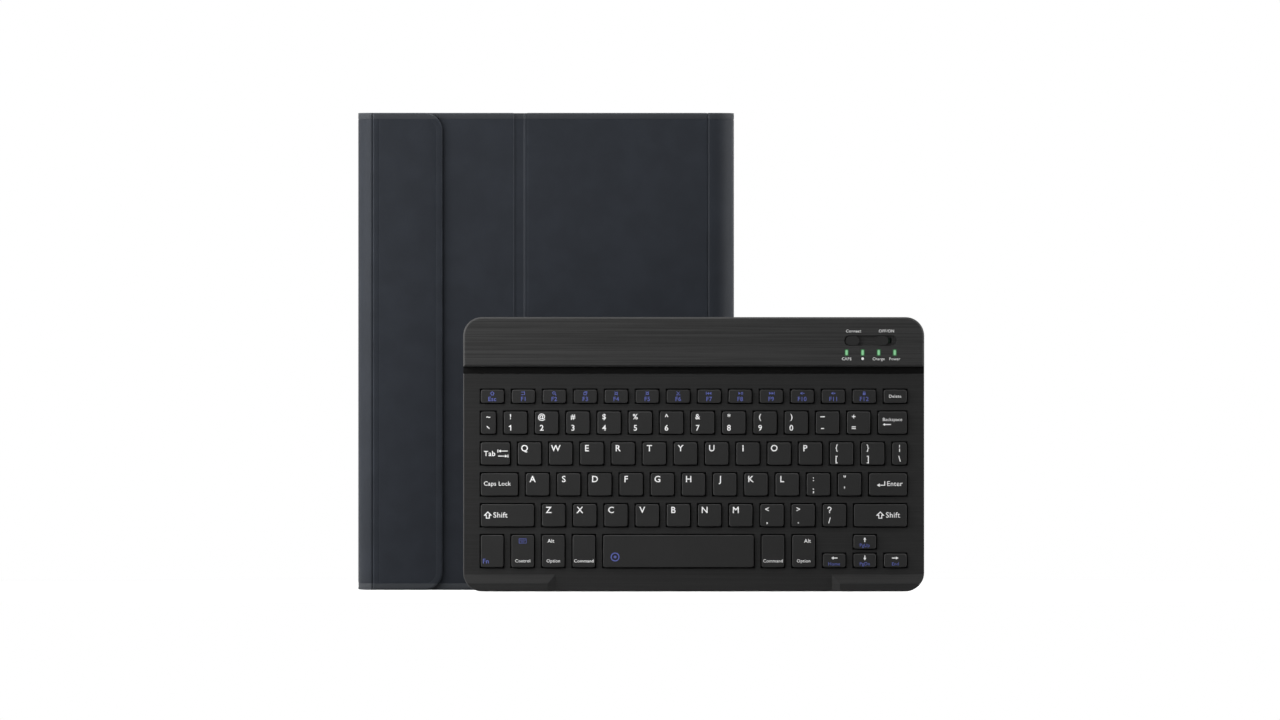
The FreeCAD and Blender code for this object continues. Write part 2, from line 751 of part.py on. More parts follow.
def build_domes(openings):
    """Rubber sheet over the membrane with one tapered dome under each key.

    The domes have four flat sides, because they are hidden and there is one for each key.
    """
    inset = s.side_wall + s.inner_gap
    depth = key_bay_top() - key_bay_bottom() - s.inner_gap * 2
    base = plain_block("dome_sheet_base", inset, key_bay_bottom() + s.inner_gap, membrane_top,
                       keyboard_width - inset * 2, depth, s.dome_base)
    domes = [base]
    for index, (name, left, bottom, width, height) in enumerate(openings):
        dome = document.addObject("Part::Wedge", f"dome_{index}")
        dome.Placement = Placement(Vector(), STAND_UP)
        for side in ("X", "Z"):
            bind(dome, f"{side}min", -s.dome_radius)
            bind(dome, f"{side}max", s.dome_radius)
            bind(dome, f"{side}2min", -s.dome_tip)
            bind(dome, f"{side}2max", s.dome_tip)
        bind(dome, "Ymin", ZERO)
        bind(dome, "Ymax", flange_bottom - s.dome_gap - dome_base_top)
        bind(dome, "Placement.Base.x", left + width / 2)
        bind(dome, "Placement.Base.y", bottom + height / 2)
        bind(dome, "Placement.Base.z", dome_base_top)
        domes.append(dome)
    place(group("dome_sheet_group", domes), "dome_sheet", keyboard_left, keyboard_back)


def key_bay_bottom():
    """Lower end of the space for the layers under the keys, clear of the front screws and magnets."""
    return s.front_margin - s.flange_lap - s.inner_gap * 2


def key_bay_top():
    """Upper end of that space, clear of the rear screws."""
    return function_row_bottom + s.function_row + s.flange_lap + s.inner_gap * 2


def screw_places():
    """The four cover screws: two at the front corners and two behind the key field."""
    front = s.screw_inset
    rear = (key_bay_top() + deck_length) / 2
    across = [s.keyboard_corner, keyboard_width - s.keyboard_corner]
    return [(x, y) for y in (front, rear) for x in across]


def build_deck(openings):
    """Deck plate with one opening for each key, and the two raised lips at its front corners."""
    blank = new_body("deck_blank")
    corner = s.keyboard_corner
    outline = new_sketch(blank, "deck_outline", deck_underside)
    draw_rectangle(outline, ZERO, ZERO, keyboard_width, deck_length, (corner, corner, None, None))
    plate = add_pad(blank, outline, s.deck_thickness)
    add_edge_feature(blank, "Chamfer", s.deck_chamfer, plate, deck_top)
    holes = [plain_block(f"opening_{index}", left, bottom, deck_underside - s.deck_thickness, width, height,
                         s.deck_thickness * 3)
             for index, (name, left, bottom, width, height) in enumerate(openings)]
    deck = cut("deck_plate", blank, group("deck_openings", holes))
    place(deck, "key_deck", keyboard_left, keyboard_back)

    lip = new_body("left_lip")
    section = new_sketch(lip, "lip_section", plane="YZ_Plane")
    draw_polygon(section, [(s.deck_chamfer, deck_top), (s.lip_flat + s.lip_slope, deck_top),
                           (s.lip_flat, deck_top + s.lip_rise), (s.deck_chamfer, deck_top + s.lip_rise)])
    add_pad(lip, section, s.lip_length)
    end = new_sketch(lip, "lip_end", plane="XZ_Plane")
    draw_polygon(end, [(s.lip_length, deck_top), (s.lip_length, deck_top + s.lip_rise),
                       (s.lip_length - s.lip_end_slope, deck_top + s.lip_rise)])
    trim = add_pocket(lip, end, (s.lip_flat + s.lip_slope) * 2)
    trim.Midplane = True
    inside = rounded_body("lip_limit", s.deck_chamfer, s.deck_chamfer, deck_top,
                          keyboard_width - s.deck_chamfer * 2, deck_length, s.lip_rise,
                          corner - s.deck_chamfer)
    left = document.addObject("Part::Common", "left_lip_cut")
    left.Base = lip
    left.Tool = inside
    right = document.addObject("Part::Mirroring", "right_lip_cut")
    right.Source = left
    right.Normal = Vector(1, 0, 0)
    bind(right, "Base.x", keyboard_width / 2)
    place(group("lip_pair", [left, right]), "front_lips", keyboard_left, keyboard_back)


def control_places():
    """Middle of the control slot and of each control in it, in flat keyboard coordinates."""
    middle = keyboard_width - s.slot_inset
    up = bar_bottom + s.slot_above_bar_edge
    button = middle - s.slot_length / 2 + s.button_cap / 2 + s.control_gap * 2
    knob = middle + s.slot_length / 2 - s.knob_travel - s.knob_length / 2 - s.control_gap * 2
    return middle, up, button, knob


def lens_places():
    """Middle of each of the four indicator lenses."""
    middle = keyboard_width - s.slot_inset
    up = bar_bottom + s.lens_above_bar_edge
    return [(middle + s.lens_pitch * (count - 1.5), up) for count in range(4)]


def switch_top():
    """Upper face of the two small switches on the circuit board, just under the bar's roof."""
    return roof_underside - s.button_travel - s.control_gap


def build_rear_bar():
    """Raised housing across the rear with the control slot, its two controls and the lenses."""
    corner = s.keyboard_corner
    middle, up, button, knob = control_places()
    floor = s.bar_top - s.slot_depth
    housing = new_body("rear_housing")
    outline = new_sketch(housing, "housing_outline", deck_underside)
    draw_rectangle(outline, ZERO, bar_bottom, keyboard_width, keyboard_length, (None, None, corner, corner))
    block = add_pad(housing, outline, s.bar_top - deck_underside)
    add_edge_feature(housing, "Chamfer", s.bar_bevel, block, s.bar_top)
    inside = new_sketch(housing, "housing_inside", deck_underside)
    wall = s.side_wall
    draw_rectangle(inside, wall, bar_bottom + wall, keyboard_width - wall, keyboard_length - wall,
                   (None, None, corner - wall, corner - wall))
    add_pocket(housing, inside, s.bar_top - deck_underside - s.bar_roof, upward=True)
    slot = new_sketch(housing, "control_slot", s.bar_top)
    half = s.slot_width / 2
    draw_rectangle(slot, middle - s.slot_length / 2, up - half, middle + s.slot_length / 2, up + half,
                   (half - s.layer_gap,) * 4)
    add_pocket(housing, slot, s.slot_depth)
    stems = new_sketch(housing, "stem_openings", floor)
    reach = s.control_stem / 2 + s.control_gap
    draw_rectangle(stems, button - reach, up - reach, button + reach, up + reach)
    draw_rectangle(stems, knob - reach, up - reach, knob + reach + s.knob_travel, up + reach)
    add_pocket(housing, stems, s.bar_roof)
    windows = new_sketch(housing, "lens_windows", s.bar_top)
    for across, height in lens_places():
        draw_rectangle(windows, across - s.lens_width / 2 - s.layer_gap, height - s.lens_length / 2 - s.layer_gap,
                       across + s.lens_width / 2 + s.layer_gap, height + s.lens_length / 2 + s.layer_gap)
    add_pocket(housing, windows, s.bar_roof)
    place(housing, "rear_housing", keyboard_left, keyboard_back)

    lenses = [plain_block(f"lens_{count}", across - s.lens_width / 2, height - s.lens_length / 2,
                          roof_underside, s.lens_width, s.lens_length, s.bar_roof)
              for count, (across, height) in enumerate(lens_places())]
    place(group("lens_group", lenses), "indicator_lenses", keyboard_left, keyboard_back)

    thickness = s.slot_depth - s.button_travel - s.control_gap
    for label, across, length in (("pair_button", button, s.button_cap), ("power_knob", knob, s.knob_length)):
        wide = s.slot_width - s.control_gap * 2
        cap = rounded_body(f"{label}_cap", across - length / 2, up - wide / 2, s.bar_top - thickness,
                           length, wide, thickness, wide / 2 - s.layer_gap)
        stem_base = switch_top() + s.button_travel + s.dome_gap
        stem = plain_block(f"{label}_stem", across - s.control_stem / 2, up - s.control_stem / 2, stem_base,
                           s.control_stem, s.control_stem, s.bar_top - thickness - stem_base)
        piece = document.addObject("Part::Fuse", f"{label}_piece")
        piece.Base = cap
        piece.Tool = stem
        place(piece, label, keyboard_left, keyboard_back)


def socket_left():
    return keyboard_width - s.socket_inset - s.socket_width / 2


def build_bottom_cover():
    """Shallow bottom cover with the rib under the groove, screw bosses, foot beds and the socket notch."""
    cover = new_body("bottom_cover")
    corner = s.keyboard_corner
    wall = s.side_wall
    outline = new_sketch(cover, "cover_outline")
    draw_rectangle(outline, ZERO, ZERO, keyboard_width, keyboard_length, (corner,) * 4)
    add_pad(cover, outline, deck_underside)
    bays = new_sketch(cover, "cover_bays", deck_underside)
    inner = corner - wall
    draw_rectangle(bays, wall, wall, keyboard_width - wall, deck_length, (inner, inner, None, None))
    draw_rectangle(bays, wall, bar_bottom, keyboard_width - wall, keyboard_length - wall,
                   (None, None, inner, inner))
    add_pocket(cover, bays, deck_underside - s.cover_floor)
    groove = new_sketch(cover, "groove_cut", deck_underside)
    draw_rectangle(groove, -wall, deck_length, keyboard_width + wall, bar_bottom)
    add_pocket(cover, groove, deck_underside - rib_top)
    bosses = new_sketch(cover, "screw_bosses", s.cover_floor)
    for across, up in screw_places():
        draw_octagon(bosses, across, up, s.boss_width)
    add_pad(cover, bosses, deck_underside - s.cover_floor)
    bores = new_sketch(cover, "screw_bores")
    heads = new_sketch(cover, "screw_seats")
    for across, up in screw_places():
        draw_octagon(bores, across, up, s.screw_shank + s.layer_gap * 2)
        draw_circle(heads, across, up, s.screw_head + s.layer_gap * 2)
    add_pocket(cover, bores, deck_underside, upward=True)
    add_pocket(cover, heads, s.screw_head_depth, upward=True)
    notch = new_sketch(cover, "socket_notch", deck_underside)
    gap = s.layer_gap
    draw_rectangle(notch, socket_left() - gap, keyboard_length - wall * 2,
                   socket_left() + s.socket_width + gap, keyboard_length + wall)
    add_pocket(cover, notch, deck_underside - circuit_top + gap)
    beds = new_sketch(cover, "foot_beds")
    for left, bottom in foot_places():
        draw_cut_rectangle(beds, left - gap, bottom - gap, left + s.foot_length + gap,
                           bottom + s.foot_width + gap, s.foot_corner)
    add_pocket(cover, beds, s.foot_bed, upward=True)
    place(cover, "bottom_cover", keyboard_left, keyboard_back)

    strip = plain_block("groove_strip_block", ZERO, deck_length + gap, rib_top, keyboard_width,
                        s.groove_width - gap * 2, s.groove_strip)
    place(group("groove_strip_group", [strip]), "groove_strip", keyboard_left, keyboard_back)


def foot_places():
    """Lower left corner of each of the four feet."""
    far_left = keyboard_width - s.foot_inset - s.foot_length
    far_up = keyboard_length - s.foot_inset - s.foot_width
    return [(left, bottom) for bottom in (s.foot_inset, far_up) for left in (s.foot_inset, far_left)]


def build_inner_pieces():
    """What lies inside the keyboard, and its feet and screws."""
    inset = s.side_wall + s.inner_gap
    bottom = key_bay_bottom() + s.inner_gap
    depth = key_bay_top() - key_bay_bottom() - s.inner_gap * 2
    width = keyboard_width - inset * 2
    for label, base, thickness in (("support_plate", s.cover_floor, s.support_plate),
                                   ("key_membrane", plate_top, s.membrane)):
        layer = plain_block(f"{label}_block", inset, bottom, base, width, depth, thickness)
        place(group(f"{label}_group", [layer]), label, keyboard_left, keyboard_back)

    bay_bottom = bar_bottom + s.inner_gap
    bay_height = s.bar_width - s.side_wall - s.inner_gap * 2
    board_left = keyboard_width - s.side_wall - s.inner_gap - s.keyboard_corner - s.board_length
    middle, up, button, knob = control_places()
    pieces = [plain_block("circuit_plate", board_left, bay_bottom, s.cover_floor, s.board_length, bay_height,
                          s.board_thickness)]
    half = s.switch_side / 2
    for name, across in (("pair_switch", button), ("power_switch", knob + s.knob_travel / 2)):
        pieces.append(plain_block(name, across - half, up - half, circuit_top, s.switch_side, s.switch_side,
                                  switch_top() - circuit_top))
    half = s.emitter_side / 2
    for count, (across, height) in enumerate(lens_places()):
        pieces.append(plain_block(f"emitter_{count}", across - half, height - half, circuit_top, s.emitter_side,
                                  s.emitter_side, roof_underside - s.dome_gap - circuit_top))
    pieces.append(plain_block("controller_chip", board_left + s.chip_side, bay_bottom + s.chip_side, circuit_top,
                              s.chip_side, s.chip_side, s.chip_height))
    place(group("circuit_group", pieces), "circuit_board", keyboard_left, keyboard_back)
    battery = plain_block("battery_block", inset + s.keyboard_corner, bay_bottom, s.cover_floor,
                          s.battery_length, bay_height, s.battery_thickness)
    place(group("battery_group", [battery]), "battery_cell", keyboard_left, keyboard_back)

    shell = plain_block("socket_shell", socket_left(), keyboard_length - s.socket_depth, circuit_top,
                        s.socket_width, s.socket_depth, s.socket_height)
    rim = s.socket_wall
    mouth = plain_block("socket_mouth", socket_left() + rim, keyboard_length - s.socket_depth + rim,
                        circuit_top + rim, s.socket_width - rim * 2, s.socket_depth, s.socket_height - rim * 2)
    place(cut("socket_body", shell, mouth), "charge_socket", keyboard_left, keyboard_back)

    feet = [cut_block(f"foot_{count}", left, bottom, -s.foot_rise, s.foot_length, s.foot_width,
                      s.foot_rise + s.foot_bed, s.foot_corner)
            for count, (left, bottom) in enumerate(foot_places())]
    place(group("foot_group", feet), "rubber_feet", keyboard_left, keyboard_back)

    screws = []
    for count, (across, up) in enumerate(screw_places()):
        screw = document.addObject("Part::Fuse", f"screw_{count}")
        screw.Base = plain_cylinder(f"screw_head_{count}", across, up, ZERO, s.screw_head, s.screw_head_depth)
        shank = new_body(f"screw_shank_{count}")
        section = new_sketch(shank, f"screw_section_{count}")
        draw_octagon(section, across, up, s.screw_shank)
        add_pad(shank, section, deck_underside)
        screw.Tool = shank
        screws.append(screw)
    place(group("screw_group", screws), "cover_screws", keyboard_left, keyboard_back)

    poles = []
    for count, left in enumerate((s.pole_inset, keyboard_width - s.pole_inset - s.pole_length)):
        poles.append(plain_block(f"pole_{count}", left, s.side_wall + s.inner_gap, s.cover_floor,
                                 s.pole_length, s.pole_width, s.pole_thickness))
    place(group("pole_group", poles), "keyboard_magnets", keyboard_left, keyboard_back)


def write_parts():
    """Check the whole document, then write one file for each sub-part."""
    document.recompute()
    failed = [item.Name for item in document.Objects if {"Invalid", "Error"} & set(item.State)]
    if failed:
        raise RuntimeError(f"failed objects: {failed}")
    for item in sub_parts:
        if item.Shape.isNull() or not item.Shape.isValid() or not item.Shape.Solids:
            raise RuntimeError(f"bad shape: {item.Label}")
    os.makedirs("parts", exist_ok=True)
    for item in sub_parts:
        item.Shape.exportStep(f"parts/{item.Label}.step")
        box = item.Shape.BoundBox
        print(f"{item.Label}: {len(item.Shape.Solids)} solids, {item.Shape.Volume:.1f} mm3, "
              f"x {box.XMin:.2f} {box.XMax:.2f} y {box.YMin:.2f} {box.YMax:.2f} z {box.ZMin:.2f} {box.ZMax:.2f}")


key_openings = key_rows()
build_front_panel()
build_fold_panel()
build_back_panel()
build_spine_and_edge()
build_flap()
build_bottom_cover()
build_deck(key_openings)
build_rear_bar()
build_domes(key_openings)
build_inner_pieces()
build_keys(key_openings)
write_parts()
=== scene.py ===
"""Looks of a leather tablet case and its keyboard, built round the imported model, in metres."""
# %% [markdown]
# # A tablet case and its keyboard
#
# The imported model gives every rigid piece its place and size. This lesson dresses it: the leather, the
# lining, the key caps and the printed signs are made here as surfaces worked out with numpy, and the
# moulded pieces keep their own shape and get a finish. Everything is in metres, with +Z up, and the
# viewer looks along +Y.

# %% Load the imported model
import json
import math

import bmesh
import bpy
import numpy as np
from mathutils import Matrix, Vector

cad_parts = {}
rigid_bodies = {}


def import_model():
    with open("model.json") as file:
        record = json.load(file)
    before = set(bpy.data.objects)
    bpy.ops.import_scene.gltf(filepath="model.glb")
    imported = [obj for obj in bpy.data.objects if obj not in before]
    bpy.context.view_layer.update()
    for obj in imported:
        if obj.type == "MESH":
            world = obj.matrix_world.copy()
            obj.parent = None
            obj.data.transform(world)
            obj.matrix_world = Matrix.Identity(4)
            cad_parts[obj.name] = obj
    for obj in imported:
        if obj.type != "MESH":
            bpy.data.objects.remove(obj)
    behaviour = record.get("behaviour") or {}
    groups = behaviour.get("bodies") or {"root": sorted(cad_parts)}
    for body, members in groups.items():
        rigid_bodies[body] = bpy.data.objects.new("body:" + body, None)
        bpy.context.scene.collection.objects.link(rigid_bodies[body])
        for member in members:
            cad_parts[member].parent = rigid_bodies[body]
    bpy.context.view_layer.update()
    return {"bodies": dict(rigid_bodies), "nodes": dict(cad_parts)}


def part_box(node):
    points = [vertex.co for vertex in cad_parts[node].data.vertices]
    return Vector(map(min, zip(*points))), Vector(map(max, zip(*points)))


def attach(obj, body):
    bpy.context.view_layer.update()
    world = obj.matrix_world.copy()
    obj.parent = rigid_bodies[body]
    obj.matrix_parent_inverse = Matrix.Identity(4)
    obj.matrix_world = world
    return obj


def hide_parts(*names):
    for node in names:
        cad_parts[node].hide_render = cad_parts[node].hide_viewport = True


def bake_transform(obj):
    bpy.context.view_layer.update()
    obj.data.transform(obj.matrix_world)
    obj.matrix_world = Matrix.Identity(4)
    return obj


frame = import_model()
nodes = frame["nodes"]
scene = bpy.context.scene
MM = 0.001

# %% [markdown]
# ## Camera
#
# The photograph was taken straight on, with upright edges that stay upright, so the camera is far away
# with a long lens. One pixel of the 1280 px wide photograph is 0.538 mm at the object, and the floor
# line lies at row 590.5, which fixes the distance and the height of the camera.

# %% Camera
LENS = 600.0
SENSOR = 36.0
CLIP_END = 200.0
PHOTO_WIDTH = 1280
PHOTO_HEIGHT = 720
PIXEL = 0.538 * MM
FLOOR_ROW = 590.5
MIDDLE_DEPTH = -11 * MM

camera_data = bpy.data.cameras.new("photo_camera")
camera_data.lens = LENS
camera_data.sensor_width = SENSOR
camera_data.clip_end = CLIP_END
camera = bpy.data.objects.new("photo_camera", camera_data)
scene.collection.objects.link(camera)
distance = PHOTO_WIDTH * PIXEL * LENS / SENSOR
camera.location = (0, MIDDLE_DEPTH - distance, (FLOOR_ROW - PHOTO_HEIGHT / 2) * PIXEL)
camera.rotation_euler = (math.radians(90), 0, 0)
bpy.context.scene.camera = camera
print("camera", [round(value, 3) for value in camera.location])

# %% [markdown]
# ## Shader expressions
#
# Node trees are hard to read as lists of links. A Wire is one output, so that sums and products of
# outputs can be written as Python expressions, and each operator adds one Math node. A Tree adds any
# other node by its type, settings and inputs, and a Finish is the tree of one material.

# %% Shader expressions
def math_operator(operation, swapped=False):
    """A method that adds one Math node to the tree of its wire."""
    def method(self, other):
        first, second = (other, self) if swapped else (self, other)
        return self.owner.add("ShaderNodeMath", {"operation": operation}, {0: first, 1: second})
    return method


class Wire:
    """One output in a shader tree. Its operators add Math nodes."""
    __add__ = math_operator("ADD")
    __radd__ = math_operator("ADD", swapped=True)
    __sub__ = math_operator("SUBTRACT")
    __rsub__ = math_operator("SUBTRACT", swapped=True)
    __mul__ = math_operator("MULTIPLY")
    most = math_operator("MAXIMUM")

    def __init__(self, owner, socket):
        self.owner = owner
        self.socket = socket


class Tree:
    """A shader tree whose nodes are added one at a time."""

    def __init__(self, tree):
        self.tree = tree

    def join(self, socket, value):
        """Link a wire to a socket, or set the socket to a plain value."""
        if isinstance(value, Wire):
            self.tree.links.new(value.socket, socket)
        else:
            socket.default_value = value

    def add(self, kind, settings=None, inputs=None, output=0):
        """A new node, as a wire from one of its outputs."""
        node = self.tree.nodes.new(kind)
        for name, value in (settings or {}).items():
            setattr(node, name, value)
        for name, value in (inputs or {}).items():
            self.join(node.inputs[name], value)
        return Wire(self, node.outputs[output])

    def vector(self, operation, *inputs, output=0):
        """A Vector Math node."""
        return self.add("ShaderNodeVectorMath", {"operation": operation}, dict(enumerate(inputs)), output)

    def shown(self):
        """1 for rays that end in the picture, seen straight, mirrored or let through, and 0 for others."""
        straight, mirrored, passed = [self.add("ShaderNodeLightPath", output=f"Is {kind} Ray")
                                      for kind in ("Camera", "Glossy", "Transmission")]
        return straight.most(mirrored).most(passed)

    def mix_into(self, target, factor, first, second):
        """Mix two shaders into the output node called target."""
        mixed = self.add("ShaderNodeMixShader", {}, {0: factor, 1: first, 2: second})
        self.join(self.tree.nodes[target].inputs["Surface"], mixed)


class Finish(Tree):
    """A material with one Principled shader."""

    def __init__(self, name, **sockets):
        self.material = bpy.data.materials.new(name)
        self.material.use_nodes = True
        super().__init__(self.material.node_tree)
        self.shader = self.tree.nodes["Principled BSDF"]
        self.set(**sockets)

    def set(self, **sockets):
        """Set or link the shader's inputs: base_color stands for Base Color."""
        for name, value in sockets.items():
            title = name.replace("_", " ").title().replace("Specular Level", "Specular IOR Level")
            self.join(self.shader.inputs[title], value)

    def where(self):
        """Object coordinates in metres."""
        return self.add("ShaderNodeTexCoord", output="Object")

    def coordinate(self, axis):
        """One object coordinate in metres, with axis 0, 1 or 2."""
        return self.add("ShaderNodeSeparateXYZ", {}, {0: self.where()}, axis)

    def place(self, scale):
        """Object coordinates times scale, which is one number or one for each axis."""
        scale = np.full(3, scale, float).tolist()
        return self.add("ShaderNodeMapping", {}, {"Vector": self.where(), "Scale": scale})

    def noise(self, scale, detail=2.0, roughness=0.5):
        """Cloudy values from 0 to 1, with scale cells per metre."""
        inputs = {"Vector": self.place(scale), "Scale": 1.0, "Detail": detail, "Roughness": roughness}
        return self.add("ShaderNodeTexNoise", {}, inputs, "Fac")

    def cells(self, scale):
        """Rounded pebbles: the distance from the nearest cell middle, with scale cells per metre."""
        return self.add("ShaderNodeTexVoronoi", {"feature": "SMOOTH_F1"},
                        {"Vector": self.place(scale), "Scale": 1.0, "Smoothness": 0.6}, "Distance")

    def blend(self, factor, first, second):
        """A colour between first and second."""
        return self.add("ShaderNodeMix", {"data_type": "RGBA"}, {0: factor, 6: first, 7: second}, 2)

    def ramp(self, value, low, high):
        """0 below low, 1 above high, with a smooth step between."""
        return self.add("ShaderNodeMapRange", {"interpolation_type": "SMOOTHSTEP"},
                        {"Value": value, "From Min": low, "From Max": high})

    def attribute(self, name):
        """A value that the mesh's points carry."""
        return self.add("ShaderNodeAttribute", {"attribute_name": name}, output="Fac")

    def bump(self, height, depth):
        """A Bump node whose full height is depth metres, into the shader's Normal."""
        inputs = {"Height": height, "Distance": depth, "Strength": 1.0}
        self.set(normal=self.add("ShaderNodeBump", {}, inputs, "Normal"))


def grey(level, tint=(1.0, 1.0, 1.0)):
    """A linear colour of one level, with a tint."""
    return tuple(level * share for share in tint) + (1.0,)


def scaled(colour, factor):
    """A colour made lighter or darker."""
    return tuple(value * factor for value in colour[:3]) + (1.0,)


# %% [markdown]
# ## Floor and light
#
# The object stands on a plain white floor. The floor keeps the soft shadow near the object and turns to
# plain white further out, so that no horizon shows. Light that the floor throws back at the object is
# held low, as from a floor in the shade. A soft lamp stands at the left front, and a second one at the
# left brings out the rounded edge. One at the right touches the spine, one behind serves the other
# views, and one above lights the floor.

# %% Floor, world and lamps
WHITE = (1.0, 1.0, 1.0, 1.0)
FLOOR_HALF = 40.0
FLOOR_DROP = 0.2 * MM
SHADOW_NEAR = 0.16
SHADOW_FAR = 0.62
FLOOR_TONE = 0.9
BOUNCE = 0.18
AMBIENT = 0.22

scene.view_settings.view_transform = "Standard"

floor_finish = Finish("pale_floor", roughness=1.0, specular_level=0.0)
away = floor_finish.vector("LENGTH", floor_finish.where(), output="Value")
far = floor_finish.ramp(away, SHADOW_NEAR, SHADOW_FAR)
shown = floor_finish.shown()
floor_finish.set(base_color=floor_finish.blend(shown, grey(BOUNCE), grey(FLOOR_TONE)))
plain_white = floor_finish.add("ShaderNodeEmission", {}, {"Color": WHITE, "Strength": 1.0})
lit_floor = Wire(floor_finish, floor_finish.shader.outputs[0])
floor_finish.mix_into("Material Output", far * shown, lit_floor, plain_white)

floor_mesh = bpy.data.meshes.new("floor")
corners = np.array([[-1, -1, 0], [1, -1, 0], [1, 1, 0], [-1, 1, 0]]) * FLOOR_HALF
floor_mesh.from_pydata(corners.tolist(), [], [[0, 1, 2, 3]])
floor_mesh.materials.append(floor_finish.material)
floor = bpy.data.objects.new("floor", floor_mesh)
floor.location = (0, 0, -FLOOR_DROP)
scene.collection.objects.link(floor)

world = bpy.data.worlds.new("studio")
world.use_nodes = True
scene.world = world
sky = Tree(world.node_tree)
ambient = world.node_tree.nodes["Background"]
ambient.inputs["Color"].default_value = WHITE
ambient.inputs["Strength"].default_value = AMBIENT
backdrop = sky.add("ShaderNodeBackground", {}, {"Color": WHITE, "Strength": 1.0})
sky.mix_into("World Output", sky.shown(), Wire(sky, ambient.outputs[0]), backdrop)


def soft_lamp(name, place, target, size, power):
    """A square soft lamp at place that faces target."""
    data = bpy.data.lights.new(name, "AREA")
    data.size = size
    data.energy = power
    lamp = bpy.data.objects.new(name, data)
    scene.collection.objects.link(lamp)
    aim = np.array(target) - np.array(place)
    aim = aim / np.linalg.norm(aim)
    lamp.location = place
    lamp.rotation_euler = (math.acos(-aim[2]), 0, math.atan2(aim[1], aim[0]) - math.pi / 2)


soft_lamp("left_lamp", (-0.52, -0.36, 0.38), (0.0, 0.0, 0.15), 0.5, 5.1)
soft_lamp("left_edge_lamp", (-0.8, -0.08, 0.28), (-0.15, 0.045, 0.16), 0.6, 6.3)
soft_lamp("right_lamp", (0.9, 0.02, 0.4), (0.05, 0.046, 0.15), 0.7, 10.5)
soft_lamp("rear_lamp", (0.35, 1.1, 0.7), (0.0, 0.05, 0.13), 0.8, 11.0)
soft_lamp("upper_lamp", (0.0, -0.3, 1.9), (0.0, 0.0, 0.0), 1.6, 24.0)

# %% [markdown]
# ## Leather
#
# The cover is a smooth, dark slate coated leather. Its grain is fine: pebbles of about half a
# millimetre, which only break up the shine. Long soft waves keep the large panels from looking like
# plastic. The turned edges, marked by an attribute on the mesh, carry a painted highlight: they are a
# little lighter, broken up by a mottle. Along the upper and lower edge the leather is turned in, which leaves
# a hem with a pressed line. Its paler tone follows from the height above the floor alone, and the line
# itself is pressed into the meshes further down.

# %% Leather finish
SLATE = (0.84, 0.98, 1.26)
PALE_SLATE = (0.93, 1.0, 1.1)
CHARCOAL = (0.92, 1.0, 1.12)
HEM = 3.5 * MM
PRESS = 0.4 * MM
GRAIN_DEPTH = 0.035 * MM
NAP_DEPTH = 0.12 * MM

case_low, case_high = [corner.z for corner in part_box("spine_skin")]
leather = Finish("slate_leather", specular_level=0.1)
pebbles = leather.cells(1700)
fine = leather.noise(5200)
waves = leather.noise(26)
patches = leather.noise(70, 3.0)
# the rim attribute marks the rounded edges that get the painted highlight
highlight_mask = leather.attribute("rim")
height = leather.coordinate(2) - (case_low + case_high) / 2
from_middle = leather.add("ShaderNodeMath", {"operation": "ABSOLUTE"}, {0: height})
hem_start = (case_high - case_low) / 2 - HEM
hem = leather.ramp(from_middle, hem_start - PRESS, hem_start)
pressed = hem * (1.0 - leather.ramp(from_middle, hem_start, hem_start + PRESS))
tone = leather.blend(leather.ramp(patches, 0.3, 0.75), grey(0.0147, SLATE), grey(0.0177, SLATE))
# painted highlight: the turned edges are made a little lighter, broken up by a mottle
edge_highlight = highlight_mask * leather.ramp(fine + patches, 0.7, 1.25)
hemmed = leather.blend(hem * 0.8 - pressed * 0.8, tone, grey(0.034, PALE_SLATE))
leather.set(base_color=leather.blend(edge_highlight * 0.3, hemmed, grey(0.06, SLATE)),
            roughness=0.5 + pebbles * 0.12 + fine * 0.08 - highlight_mask * 0.08)
leather.bump(pebbles * 0.5 + fine * 0.25 + waves * 6.0, GRAIN_DEPTH)

lining = Finish("brushed_lining", roughness=0.95, specular_level=0.1)
nap = lining.noise((900, 900, 2600), 3.0)
drift = lining.noise(40)
tone = lining.blend(nap * 0.6 + drift * 0.4, grey(0.024, CHARCOAL), grey(0.068, CHARCOAL))
lining.set(base_color=tone, sheen_weight=0.25, sheen_roughness=0.5)
lining.bump(nap, NAP_DEPTH)

# %% [markdown]
# ## Slabs with turned edges
#
# A leather panel is a flat slab whose edge is turned over a board. It is made as a stack of rings: one
# ring is the panel's outline pulled in by some amount at some depth, and the list of those pairs is the
# edge's profile. The first and last ring are closed with one flat face.

# %% Rings and slabs
FACE_MARGIN = 0.9 * MM
STEP = 0.02 * MM


def quarter(points):
    """Angles of a quarter turn."""
    return np.linspace(0, math.pi / 2, points)


def unit(angle):
    """Points on the unit circle."""
    return np.column_stack([np.cos(angle), np.sin(angle)])


def rounded(radius, turn, rim):
    """Rows of (inset, depth, rim) along a quarter round, from the face to the side."""
    return np.column_stack([radius * (1 - np.sin(turn)), radius * (1 - np.cos(turn)), rim])


def outline_ring(box, inset, radii, steps):
    """Points round a rectangle pulled in by inset: at corner k, an arc of radius radii[k] - inset."""
    low_x, high_x, low_z, high_z = box
    corners = ((high_x, high_z), (low_x, high_z), (low_x, low_z), (high_x, low_z))
    signs = np.array([(1, 1), (-1, 1), (-1, -1), (1, -1)])
    arcs = []
    for index, corner in enumerate(corners):
        radius = max(radii[index] - inset, STEP)
        middle = corner - signs[index] * (inset + radius)
        arcs.append(middle + radius * unit(quarter(steps + 1) + index * math.pi / 2))
    return np.concatenate(arcs)


def ring_quads(index):
    """Quads all round between each row of a table of point numbers and the next."""
    after = np.roll(index, -1, axis=1)
    return np.stack([index[:-1], after[:-1], after[1:], index[1:]], axis=-1).reshape(-1, 4)


def tube(rings, points, turned):
    """Faces of a tube with closed ends, in the other sense of turning if turned."""
    index = np.arange(rings * points).reshape(rings, points)
    faces = [index[0, ::-1]] + list(ring_quads(index)) + [index[-1]]
    return [face[::-1] for face in faces] if turned else faces


